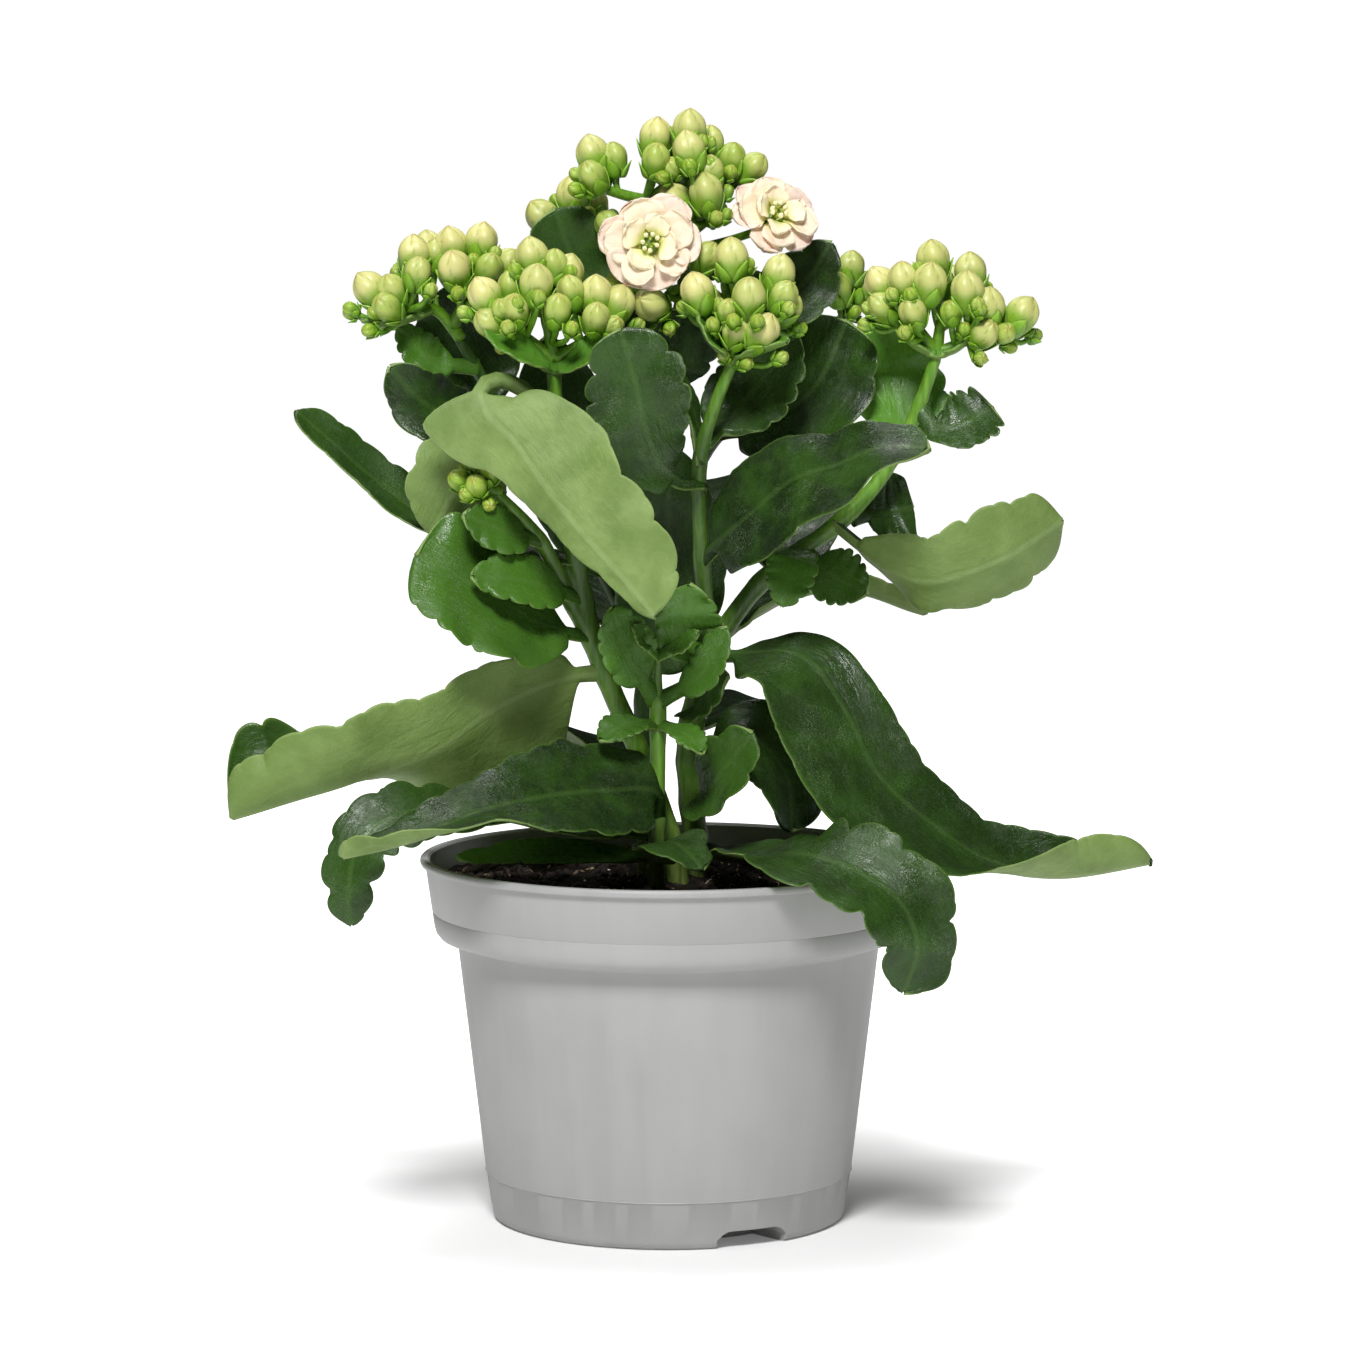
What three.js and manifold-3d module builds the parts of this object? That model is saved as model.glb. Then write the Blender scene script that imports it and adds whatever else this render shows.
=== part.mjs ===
// A potted kalanchoe: four rooted cuttings with fleshy scalloped leaves, flower heads in bud and two open
// double blooms, standing in peat in a 12 cm grey plastic nursery pot. Millimetres, +Z up, origin on the
// ground on the pot's axis. The front of the plant faces -Y.
import * as THREE from "three";
import { mergeVertices } from "three/addons/utils/BufferGeometryUtils.js";
import Module from "manifold-3d";

const wasm = await Module();
wasm.setup();

// ---- driving dimensions ----
const GAP = 0.3; // clearance between one piece and the next
const POT = {
  rim: 60, // outer radius of the lip
  height: 88,
  lip: 1.6, // height of the lip
  collarTop: 58.7,
  collarFoot: 56.2,
  collarZ: 69,
  neck: 51,
  neckZ: 67.5,
  bandTop: 44.4, // the plain band above the foot
  bandZ: 11.6,
  foot: 42.8,
  wall: 1.2,
  sides: 24,
};
const DRAIN = { count: 3, firstAngle: -62, arc: 25, inner: 31, height: 3.6, skin: 1.2, hole: 2.5 };
const SOIL = { top: 82.5, bump: 0.9, sides: 16 };
const LEAF = {
  rib: 1.7, // thickness along the rib
  edge: 0.8,
  petiole: 2.6, // thickness of the leaf stalk
  petioleHalf: 1.8,
  longPetiole: 0.2, // beyond this share of the leaf the leaf stalk is bent
  bladeStart: 0.09, // the first and the last cross-section of the blade
  tip: 0.98,
  notch: 0.1, // depth of a notch as a share of the half width
  broad: 0.85, // below 1 an oval blade is widest near its base
};
const BUD = {
  L: [3.7, 10.2], // radius and length of each size
  M: [3.1, 8.4],
  S: [2.2, 5.6],
  full: [[0, 0.45], [0.45, 1], [0.85, 0.68]], // its profile: share of the length, share of the radius
  slim: [[0, 0.5], [0.55, 1]],
  sides: 4,
};
const PEDICEL = 0.8; // radius of a flower stalk
const BLOOM = { petal: 0.7, cup: 3.1, pedicel: 1.0 };
const STEM = { sides: 5, step: 16 };

const FINISH = {
  pot: { color: 0xa9aaaa, roughness: 0.5 },
  soil: { color: 0x17120e, roughness: 1 },
  stem: { color: 0x4f7a2c, roughness: 0.5 },
  leaf: { color: 0x2c5220, roughness: 0.4 },
  bud: { color: 0xb4cd6a, roughness: 0.5 },
  petal: { color: 0xf6dcc8, roughness: 0.6 },
  heart: { color: 0xc9cf5e, roughness: 0.6 },
};

// ---- the plant ----
// The stems: for each cutting its branches, as the points of the axis from the lower end up and the
// radius at both ends. The first branch is the trunk, which starts in the soil.
const STEMS = {
  left: [
    { axis: [[2, -3, 52], [2, -3, 84], [-6, -4, 111], [-13, -5, 127], [-18, -6, 140]], radius: [3.0, 2.5] },
    { axis: [[-18, -6, 140], [-22, -9, 160], [-26, -11, 185], [-27, -12, 204]], radius: [2.4, 1.8] },
    { axis: [[-18, -6, 140], [-24, -9, 152], [-31, -13, 166], [-40, -17, 176]], radius: [2.3, 1.5] },
  ],
  right: [
    { axis: [[7, 6, 52], [7, 6, 84], [5, 4, 115], [10, 1, 138]], radius: [3.2, 2.8] },
    { axis: [[10, 1, 138], [23, -1, 155], [40, -3, 168], [49, -3, 177], [58, -2, 192], [63.5, -2, 207]],
      radius: [2.5, 1.5] },
    { axis: [[10, 1, 138], [8, -5, 160], [7.5, -10, 184], [11, -13, 197], [14.5, -14, 206]],
      radius: [2.3, 1.5] },
  ],
  back: [
    { axis: [[-5, 9, 52], [-5, 9, 84], [-6, 13, 120], [-4, 15, 150], [0, 13, 195], [5, 9, 236]],
      radius: [3.0, 1.6] },
    { axis: [[-6, 13, 135], [-20, 18, 162], [-38, 16, 190], [-50, 12, 211]], radius: [2.0, 1.4] },
    { axis: [[-3, 15, 160], [12, 22, 188], [30, 20, 204], [38, 17, 212]], radius: [1.9, 1.3] },
    { axis: [[-1, 13, 195], [-12, 17, 215], [-19, 17, 230]], radius: [1.6, 1.2] },
  ],
  front: [
    { axis: [[-3, -13, 52], [-3, -13, 84], [-2.5, -13, 116], [-2.5, -14, 126]], radius: [2.2, 1.9] },
    { axis: [[-2.5, -14, 125], [-2.5, -15, 140]], radius: [1.3, 1.0] },
  ],
};

// The leaves: the cutting each grows on, the points of its midrib from the stem out, the way its upper
// side faces along that line (from root to tip), its half width to the left and to the right of the rib
// as one looks out along it, and where on the blade the notches of its edge lie, from 0 to 1. A half
// width is a list of sizes from the base to the tip, or one number for a plain oval. depth is how deep
// the notches are, fold is how far both halves rise from the rib in degrees, and wave lifts the blade.
const LEAVES = {
  low_left_long: {
    on: "left",
    rib: [
      [-15, -5.5, 133], [-23.5, -9, 132.5], [-30, -13, 131], [-42.5, -18, 125.5], [-54.5, -22, 117],
      [-67, -24, 112], [-87, -26, 106], [-103, -26, 101],
    ],
    up: [[0, 0.95, 0.3], [0, 0.95, 0.3], [0, 0.75, 0.65], [0, 0.35, 0.95], [0, 0.12, 1]],
    half: [[4, 8, 11, 13, 15, 17, 16, 15, 10], [16, 24, 24, 22, 20, 20, 23, 25, 16]],
    fold: [2, 2, 3, 6, 10, 18, 36, 52, 54], petiole: 0.03, notches: [0.35, 0.65, 0.88], depth: 0.07,
    large: true,
  },
  low_right_long: {
    on: "right",
    rib: [
      [9.5, 1.5, 136], [22, -6, 137], [28.5, -12, 138], [34.5, -16, 135.5], [41, -20, 126],
      [49, -23, 110.5], [61, -24, 99.5], [76, -22, 89.5], [93, -19, 86], [115, -15, 89],
    ],
    up: [[0.2, -0.6, 0.75], [0.35, -0.75, 0.55], [0.3, -0.75, 0.6], [0, -0.35, 0.95], [0, 0.1, 1]],
    half: [[4, 8, 10, 11, 11, 12, 12, 9, 5], [6, 15, 22, 24, 23, 19, 14, 12, 9]],
    fold: [6, 8, 8, 8, 10, 16, 34, 50, 50], petiole: 0.02, notches: [0.46, 0.66, 0.86], depth: 0.08,
    large: true,
  },
  rim_right: {
    on: "right",
    rib: [
      [7, 6, 90], [16.5, -16, 90], [27, -38, 93.5], [33, -47, 94], [43, -52, 91.5],
      [53, -56, 85], [57.5, -57, 75.5], [54.5, -56, 64],
    ],
    up: [[0, -0.4, 0.9], [0.1, -0.55, 0.85], [0.3, -0.75, 0.6], [0.4, -0.9, 0.2]],
    half: [[3, 8, 10, 11, 12, 11, 6], [3, 9, 13, 14, 14, 11, 6]],
    fold: 12, notches: [0.26, 0.42, 0.56, 0.7, 0.84], depth: 0.15,
  },
  front_left: {
    on: "front",
    rib: [
      [-3, -13, 98], [-3, -18, 105], [-13.5, -28, 107], [-24, -38, 107.5], [-34.5, -45, 106.5],
      [-43.5, -50, 105], [-52.5, -54, 102], [-62, -56, 99], [-75, -57, 96],
    ],
    up: [[0, -0.85, 0.5], [0, -0.85, 0.55], [0, -0.75, 0.65], [0, -0.2, 1], [0, 0.15, 1]],
    half: [[8, 13, 14, 12, 10, 9, 8, 5], [8, 13, 14, 12, 10, 9, 7, 4]],
    fold: [4, 4, 6, 10, 18, 24, 24], petiole: 0.05, notches: [0.2, 0.34, 0.5, 0.88], depth: 0.1,
  },
  rim_left: {
    on: "left",
    rib: [
      [0, -3, 93], [-26, -14, 97], [-44.5, -26, 102], [-55, -32, 103], [-64, -36, 102],
      [-70.5, -39, 98], [-73.5, -41, 92], [-74.5, -42, 85], [-74, -42, 77.5],
    ],
    up: [[0, -0.35, 0.93], [0, -0.35, 0.93], [0, -0.4, 0.9], [-0.25, -0.9, 0.4], [-0.2, -0.95, 0.2]],
    half: [[3, 7, 8, 9, 10, 9, 7, 4], [3, 5, 6, 7, 8, 8, 7, 4]],
    fold: 6, notches: [0.58, 0.7, 0.8, 0.9], depth: 0.14,
  },
  front_middle: {
    on: "front", rib: [[-3, -13, 86], [-2, -23, 93], [2, -31, 94.5], [8, -37, 90]],
    up: [[0.1, -0.7, 0.7], [0.3, -0.6, 0.75]], half: [[4, 7, 8, 7, 3], [4, 7, 8, 7, 3]],
    notches: [0.4, 0.75], fold: 6,
  },
  front_upright: {
    on: "right", rib: [[7, 6, 100], [8, -8, 103], [13, -17, 110], [20, -22, 120]],
    up: [[-0.3, -0.7, 0.6], [-0.4, -0.85, 0.3]], half: [[3, 8, 9, 8, 4], [3, 7, 9, 9, 5]],
    notches: [0.35, 0.6, 0.82], depth: 0.12, fold: 14,
  },
  inner_right: {
    on: "right", rib: [[6, 5, 110], [18, 0, 117], [28, -4, 108], [29, -8, 95]],
    up: [[0, -0.5, 0.85], [0.6, -0.6, 0.5]], half: [13, 13], notches: [0.45, 0.75], fold: 8,
  },
  left_reflexed: {
    on: "left",
    rib: [
      [-28, -13, 192], [-33.5, -15, 200.5], [-40, -19.5, 203.5], [-44, -24.5, 201.5], [-42, -28.5, 195.5],
      [-36, -31, 190], [-28.5, -36, 180], [-19.5, -40, 169], [-10, -42, 158.5], [-3, -42, 150],
    ],
    up: [[-0.4, 0.9, 0.1], [-0.2, 0.95, 0.2], [0, 1, 0.1], [0, 1, 0.2], [0, 1, 0.3]],
    half: [[17, 12, 9, 7, 6, 5, 4, 3, 2.5], [3, 10, 17, 18.5, 17, 16.5, 15.5, 13, 8]],
    fold: 4, petiole: 0.25, notches: [0.55, 0.76, 0.92], depth: 0.06, large: true,
  },
  left_hanging: {
    on: "left", rib: [[-26, -11, 186], [-34, -14, 190], [-43, -15, 187], [-50, -14, 178.5], [-56, -13, 167]],
    up: [[0, 0.6, 0.8], [-0.2, 0.95, 0.2], [-0.2, 0.95, 0.2]], half: [12, 12], petiole: 0.36,
    notches: [0.5, 0.8], depth: 0.06, fold: 6,
  },
  left_far: {
    on: "left",
    rib: [
      [-22, -9, 160], [-45, -2, 164.5], [-59.5, 2, 170], [-68, 3, 176], [-76.5, 2, 183], [-89, -2, 195],
    ],
    up: [[0.2, -0.5, 0.85], [0.3, -0.6, 0.75], [0.4, -0.65, 0.65]],
    half: [[3, 8, 10, 10, 8, 4], [3, 5, 7, 7, 6, 4]], notches: [0.42, 0.64, 0.84], depth: 0.08,
    fold: 18,
  },
  left_glossy: {
    on: "left",
    rib: [[-18.5, -6, 141.5], [-26, -12, 143.5], [-35, -18, 148.5], [-46.5, -23, 155.5], [-59, -26, 162.5]],
    up: [[0.2, -0.6, 0.8], [0.4, -0.75, 0.55]], half: [[3, 14, 19, 19, 17, 11], [3, 12, 16, 17, 15, 11]],
    notches: [0.4, 0.6, 0.8], depth: 0.09, fold: 4, wave: 0.5,
  },
  right_dark: {
    on: "right",
    rib: [[8, -5, 160], [19, -17, 171], [29.5, -24, 180], [39.5, -29, 184], [49.5, -33, 188],
      [60.5, -35, 188]],
    up: [[-0.3, -0.85, 0.4], [-0.3, -0.8, 0.5], [-0.2, -0.7, 0.65], [-0.1, -0.5, 0.85]],
    half: [[8, 12, 12, 11, 10, 8, 5], [8, 12, 15, 17, 17, 13, 7]],
    fold: [2, 4, 8, 12, 16], petiole: 0.03, notches: [0.3, 0.5, 0.8], depth: 0.05, large: true,
  },
  right_pale: {
    on: "right",
    rib: [[40, -3, 168], [48, -10, 162], [54, -15, 158.5], [61.5, -19, 156.5], [77, -20, 161],
      [93, -15, 170]],
    up: [[0, 0.5, 0.85], [-0.1, 0.9, 0.4], [-0.2, 0.9, 0.4]],
    half: [[3, 8, 10, 12, 12, 8], [3, 10, 11, 13, 12, 8]], fold: 8, notches: [0.42, 0.62, 0.82],
    depth: 0.09,
  },
  right_wrinkled: {
    on: "right", rib: [[44, -3, 170], [48, 0.5, 170.5], [52, 3.5, 170.5], [58.5, 6, 171.5]],
    up: [[0.5, -0.8, 0.2], [0.2, -0.95, 0.2]], half: [[3, 8, 9.5, 9.5, 6], [3, 8, 9.5, 9.5, 6]],
    notches: [0.4, 0.7], fold: 10, wave: 0.8,
  },
  right_level: {
    on: "right", rib: [[10, 1, 138], [20, 8, 145.5], [30.5, 16, 150], [41.5, 18, 151.5], [62.5, 16, 145.5]],
    up: [[0, 0.1, 1]], half: [[3, 8, 10, 10, 8, 5], [3, 8, 10, 10, 9, 5]], notches: [0.34, 0.58, 0.8],
    fold: 16,
  },
  right_outer: {
    on: "right", rib: [[60, -2, 196], [64, -4, 191.5], [70, -4, 192], [77, -2, 196]],
    up: [[-0.2, -0.8, 0.5]], half: [[3, 6, 8, 8, 6], [3, 6, 8, 8, 6]], notches: [0.5, 0.68, 0.84],
    depth: 0.16, fold: 12,
  },
  right_bright: {
    on: "right", rib: [[55, -2, 187], [57, 4, 190], [55, 10, 202], [51, 12, 218]],
    up: [[0.1, -0.95, 0.25], [0, -1, 0.1]], half: [[7, 12, 11, 9, 5], [8, 12, 10, 8, 5]],
    notches: [0.3, 0.6, 0.85], fold: 8,
  },
  centre_upright: {
    on: "right",
    rib: [[7.5, -9, 178], [1, -18, 180], [-4.5, -24, 189.5], [-7.5, -26, 203], [-11, -26, 215.5]],
    up: [[-0.1, -0.2, 1], [-0.1, -0.95, 0.3], [-0.1, -0.95, 0.2], [-0.1, -0.95, 0.2]],
    half: [[4, 11, 13, 11, 6], [3, 8, 12, 12, 6]], petiole: 0.16,
    notches: [0.28, 0.46, 0.62, 0.8], depth: 0.12, fold: 8,
  },
  centre_edge: {
    on: "right", rib: [[8, -10, 183], [5, -9, 197], [-1.5, -8, 210]],
    up: [[0.9, -0.35, 0.1]], half: [4, 4], notches: [0.3, 0.55, 0.8], fold: 8,
  },
  centre_back: {
    on: "back", rib: [[0, 13, 195], [0, 5.5, 206], [3, 3.5, 219]],
    up: [[0, -0.9, 0.3]], half: [[2, 7, 11, 11, 7], [2, 7, 11, 11, 7]], notches: [0.5, 0.8], fold: 8,
  },
  centre_right: {
    on: "right", rib: [[8.5, -11, 188], [14, -4, 193], [23, -2, 203], [30, -4, 214]],
    up: [[-0.3, -0.8, 0.4]], half: [11, 12], notches: [0.35, 0.52, 0.7, 0.86], fold: 10,
  },
  upper_right_round: {
    on: "back", rib: [[13, 22, 189], [22, 12, 191], [35, 8, 200], [43, 8, 216]],
    up: [[-0.3, -0.85, 0.4], [-0.3, -0.85, 0.3]], half: [[4, 13, 16, 15, 8], [4, 12, 15, 14, 8]],
    notches: [0.5, 0.76], depth: 0.06, fold: 6,
  },
  upper_right_high: {
    on: "back", rib: [[3, 11, 218], [16, 10, 218], [30, 7, 223], [39, 5, 235]],
    up: [[0.1, -0.75, 0.6]], half: [10, 11], notches: [0.4, 0.66, 0.86], fold: 8,
  },
  upper_left_round: {
    on: "back", rib: [[1, 13, 206], [-10, 8, 218], [-22, 6, 230], [-27, 5, 243]],
    up: [[0.1, -0.9, 0.3]], half: [[3, 7, 9, 10, 7], [3, 7, 9, 10, 7]], notches: [0.8], depth: 0.03,
    fold: 5,
  },
  left_shoulder: {
    on: "back", rib: [[-39, 17, 192], [-45, 23, 199], [-50, 24, 210], [-51, 23, 225]],
    up: [[0, -0.9, 0.3]], half: [13, 13], notches: [0.7], depth: 0.04, fold: 6,
  },
  left_silver: {
    on: "back", rib: [[-32, 17, 181], [-47, 3, 190], [-58, -4, 197], [-66, -7, 206]],
    up: [[-0.3, -0.6, 0.7], [-0.4, -0.7, 0.5]], half: [10, 10], notches: [0.55, 0.8], depth: 0.06, fold: 6,
  },
  centre_low: {
    on: "back", rib: [[-6, 13, 124], [-2, 10, 136], [0, 8, 150], [0, 7, 168], [0, 7, 186]],
    up: [[-0.1, -0.9, 0.4], [0, -1, 0.1]], half: [13.5, 13.5], notches: [0.7], depth: 0.05, fold: 0,
  },
  centre_left: {
    on: "back", rib: [[-3, 15, 152], [-16, 11, 164], [-24, 9, 184], [-29.5, 9.5, 212]],
    up: [[0.2, -0.9, 0.4], [0.1, -1, 0.1]], half: [13, 14], notches: [0.7], depth: 0.05, fold: 6,
  },
  centre_hollow: {
    on: "right", rib: [[22, -1, 154], [27, 8, 160], [29, 14, 172], [27, 16, 188]],
    up: [[-0.1, -0.9, 0.4], [0, -1, 0.1]], half: [13, 13], notches: [0.7], depth: 0.05, fold: 6,
  },
  back_low_left: {
    on: "back", rib: [[-5, 10, 104], [-16, 32, 112], [-24, 54, 106], [-28, 76, 92]],
    up: [[0, 0.2, 1], [0, 0.6, 0.8]], half: [16, 16], notches: [0.7], fold: 8,
  },
  back_low_right: {
    on: "right", rib: [[6, 6, 118], [26, 28, 121], [42, 46, 109], [56, 62, 93]],
    up: [[0, 0.1, 1], [0.4, 0.5, 0.8]], half: [17, 17], notches: [0.7], fold: 8,
  },
  back_middle_left: {
    on: "back", rib: [[-6, 14, 138], [-22, 34, 149], [-40, 48, 155], [-58, 58, 152]],
    up: [[0, 0, 1], [-0.3, 0.2, 0.9]], half: [15, 15], notches: [0.7], fold: 8,
  },
  back_middle: {
    on: "back", rib: [[-3, 15, 160], [3, 36, 171], [7, 54, 174], [9, 72, 168]],
    up: [[0, -0.2, 1], [0, 0.3, 0.95]], half: [14, 14], notches: [0.7], fold: 8,
  },
  back_upper_right: {
    on: "back", rib: [[19, 22, 195], [28, 34, 205], [38, 46, 212]],
    up: [[-0.3, -0.5, 0.85]], half: [11, 11], notches: [0.7], fold: 8,
  },
  back_upper_left: {
    on: "back", rib: [[-28, 18, 176], [-36, 34, 188], [-43, 48, 194]],
    up: [[0.3, -0.4, 0.85]], half: [11, 11], notches: [0.7], fold: 8,
  },
};

// Small leaves, fused to the cutting they grow on.
const LEAFLETS = {
  left: [
    { rib: [[-21, -8, 151], [-33, -22, 156], [-46, -28, 158]], up: [[0, -0.85, 0.5]], half: [7, 7],
      notches: [0.6] },
    { rib: [[-30, -12, 165], [-39, -22, 168], [-48, -25, 172]], up: [[0, -0.85, 0.5]], half: [6, 6],
      notches: [0.6] },
    { rib: [[2, -3, 88], [-30, -20, 91], [-50, -25, 91]], up: [[0, -0.5, 0.85]], half: [5, 5],
      notches: [] },
  ],
  right: [
    { rib: [[5, 4, 120], [8, -8, 126], [14, -15, 133]], up: [[0, -0.7, 0.7]], half: [7, 7],
      notches: [0.6] },
    { rib: [[32, -2, 162], [38, -9, 157.5], [47, -12, 152.5]], up: [[0, -0.95, 0.3]], half: [7, 7],
      notches: [0.6] },
    { rib: [[29, -2, 160], [30, -12, 161], [27, -17, 150]], up: [[0, -0.6, 0.8], [0, -1, 0.1]],
      half: [6, 6], notches: [] },
    { rib: [[9, 0, 140], [5, -13, 143], [5, -18, 155]], up: [[0, -0.8, 0.6], [0, -0.95, 0.3]],
      half: [8, 8], notches: [0.6] },
  ],
  back: [
    { rib: [[-46, 13, 205], [-57, 9, 207], [-65, 8, 215]], up: [[0, -0.8, 0.5]], half: [5, 5],
      notches: [0.6] },
  ],
  front: [
    { rib: [[-3, -14, 127], [-9, -20, 138], [-13, -21, 150]], up: [[0.3, -0.9, 0.2]], half: [7, 7],
      notches: [0.6] },
    { rib: [[-2, -14, 127], [8, -20, 134], [14, -22, 145]], up: [[-0.4, -0.8, 0.4]], half: [5, 5],
      notches: [0.6] },
    { rib: [[-3, -13, 121], [-10, -22, 122], [-16, -26, 119]], up: [[0, -0.5, 0.85]], half: [5, 5],
      notches: [0.6] },
    { rib: [[-2, -13, 121], [4, -22, 120], [8, -26, 116]], up: [[0.2, -0.6, 0.8]], half: [4, 4],
      notches: [] },
    { rib: [[-2.5, -15, 138], [-6, -20, 142], [-8, -22, 146]], up: [[0.3, -0.6, 0.7]], half: [3, 3],
      notches: [] },
    { rib: [[-2.5, -15, 138], [3, -20, 141], [7, -21, 144]], up: [[-0.3, -0.6, 0.7]], half: [3, 3],
      notches: [] },
  ],
};

// The flower heads in bud: the branch end they stand on carries stalks, and each bud [x, y, z, size] has
// its own flower stalk from the nearest of them. bracts are the small leaves below.
const HEADS = {
  left_back: {
    on: "back",
    stalks: [[[-50, 12, 212], [-56, 9, 219], [-63, 4, 219]], [[-52, 11, 215], [-48, 8, 223]]],
    buds: [
      [-71, 2, 224, "L"], [-66, 0, 224, "M"], [-67, -2, 220, "M"], [-61, 6, 232, "L"], [-60, 0, 228, "M"],
      [-52, 8, 234, "L"], [-45, 8, 235, "L"], [-56, 8, 232, "M"], [-51, 0, 229, "L"], [-43, 2, 229, "M"],
      [-39, 6, 230, "M"], [-65, 8, 221, "M"], [-48, 14, 230, "M"], [-58, 15, 233, "L"],
    ],
    bracts: [
      { rib: [[-58, 8, 219], [-66, 2, 216], [-73, 0, 217]], up: [[0, 0, 1]], half: [2.5, 2.5], notches: [] },
    ],
  },
  left_front: {
    on: "left",
    stalks: [[[-27, -12, 205], [-27, -12, 209]], [[-27, -12, 208], [-37, -14, 216]],
      [[-27, -12, 208], [-17, -13, 214]],
      [[-27, -12, 208], [-29, -13, 219]]],
    buds: [
      [-32, -14, 232, "L"], [-31, -20, 226, "L"], [-27, -14, 230, "M"], [-24, -12, 228, "L"],
        [-23, -16, 224, "M"],
      [-43, -16, 223, "L"], [-37, -14, 225, "M"], [-39, -20, 220, "S"], [-36, -20, 220, "M"],
        [-42, -18, 217, "M"],
      [-26, -21, 220, "M"], [-17, -14, 223, "L"], [-12, -13, 221, "L"], [-17, -19, 218, "M"],
        [-13, -18, 216, "S"],
      [-34, -6, 228, "L"], [-26, -4, 224, "M"], [-16, -6, 221, "M"],
    ],
    bracts: [
      { rib: [[-27, -12, 206], [-31, -16, 208], [-37, -19, 211], [-43, -20, 216]], up: [[0.3, -0.6, 0.8]],
        half: [6, 6], notches: [0.6], fold: 16 },
      { rib: [[-27, -12, 206], [-23, -16, 207], [-17, -18, 210], [-12, -19, 214]], up: [[-0.3, -0.6, 0.8]],
        half: [5, 5], notches: [0.6], fold: 16 },
    ],
  },
  crown: {
    on: "back",
    stalks: [[[5, 9, 237], [4, 8, 246], [4, 5, 251]], [[4, 8, 244], [-8, 5, 246], [-15, 3, 248]],
      [[5, 9, 240], [9, 3, 241], [10, -2, 240]], [[4, 8, 246], [13, 8, 250]]],
    buds: [
      [-3, 4, 260, "L"], [5, 2, 262, "L"], [5, -2, 257, "L"], [10, 6, 259, "M"], [15, 6, 255, "M"],
      [10, 0, 252, "M"], [20, 6, 253, "M"], [-3, -2, 255, "M"], [1, -1, 253, "S"], [-18, 4, 256, "L"],
      [-13, 4, 255, "M"], [-18, 0, 251, "M"], [2, 0, 245, "L"], [9, -4, 247, "L"],
      [0, 12, 259, "M"], [9, 14, 255, "L"], [8, 14, 248, "M"],
    ],
    bracts: [],
  },
  centre: {
    on: "right",
    stalks: [[[14.5, -14, 207], [15, -14, 211]], [[15, -14, 210], [10, -15, 217]],
      [[15, -14, 210], [22, -16, 217]],
      [[15, -14, 210], [16, -14, 221]]],
    buds: [
      [15, -18, 232, "L"], [7, -18, 224, "L"], [19, -22, 223, "L"], [26, -16, 228, "L"],
        [27, -19, 223, "M"],
      [14, -22, 220, "S"], [16, -20, 215, "M"], [22, -21, 215, "L"], [28, -14, 220, "M"],
        [16, -10, 226, "M"],
      [10, -10, 221, "M"],
    ],
    bracts: [
      { rib: [[15, -14, 208], [19, -18, 209.5], [28, -21, 213]], up: [[-0.2, -0.3, 1]], half: [4, 4],
        notches: [] },
      { rib: [[15, -14, 208], [11, -17, 212], [7, -18, 219]], up: [[0.5, -0.5, 0.7]], half: [5, 5],
        notches: [] },
    ],
  },
  right: {
    on: "right",
    stalks: [[[63.5, -2, 208], [64, -2, 210]], [[64, -2, 209], [58, -3, 217]],
      [[64, -2, 209], [65, -2, 217]],
      [[64, -2, 209], [73, -3, 213]], [[73, -3, 213], [79, -3, 214]]],
    buds: [
      [63, -4, 231, "L"], [56, -6, 226, "L"], [51, -2, 225, "L"], [62, -9, 226, "L"], [51, -6, 220, "M"],
      [58, -9, 219, "M"], [72, -2, 228, "L"], [71, -8, 224, "L"], [67, -8, 219, "S"], [76, -6, 220, "L"],
      [84, -2, 218, "L"], [80, -7, 214, "S"], [75, -8, 214, "M"], [59, 6, 224, "M"], [68, 7, 225, "L"],
      [78, 5, 218, "M"],
    ],
    bracts: [
      { rib: [[64, -2, 209], [68, -4, 210], [72, -5, 213]], up: [[0, -0.3, 1]], half: [2, 2], notches: [] },
      { rib: [[64, -2, 209], [59, -5, 211], [55, -6, 215]], up: [[0.3, -0.3, 1]], half: [2, 2],
        notches: [] },
    ],
  },
  small_right: {
    on: "back",
    stalks: [[[38, 17, 213], [42, 14, 217]]],
    buds: [[44, 12, 229, "M"], [41, 10, 224, "M"], [47, 15, 224, "M"]],
    bracts: [],
  },
  left_shoot: {
    on: "left",
    stalks: [[[-40, -17, 177], [-43, -19, 178]]],
    buds: [[-46, -20, 184, "S"], [-49, -22, 180, "S"], [-42, -22, 182, "S"], [-45, -25, 179, "S"]],
    bracts: [],
  },
  back_left: {
    on: "back",
    stalks: [[[-19, 17, 231], [-21, 17, 235]]],
    buds: [[-23, 14, 246, "L"], [-30, 12, 241, "L"], [-18, 18, 244, "M"], [-26, 20, 242, "M"]],
    bracts: [],
  },
  middle: {
    on: "back",
    stalks: [[[3, 11, 222], [2, 4, 224], [0, -3, 223]]],
    buds: [[-4, -10, 221, "L"], [-11, -3, 225, "M"], [9, -9, 232, "M"], [6, -7, 225, "S"],
      [-14, 4, 239, "M"]],
    bracts: [],
  },
};

// The open blooms: the stalk from the stem to the cup, and the way the bloom faces.
const BLOOMS = {
  front: { stalk: [[4.5, 9.5, 230], [2, 2, 233], [-4, -10, 235]], face: [-0.05, -1, 0.12], radius: 10.8,
    turn: 12 },
  right: { stalk: [[5, 9, 233.5], [15, 5, 236], [24, -2, 240]], face: [0.35, -0.65, 0.5], radius: 10.2,
    turn: 40 },
};
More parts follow.
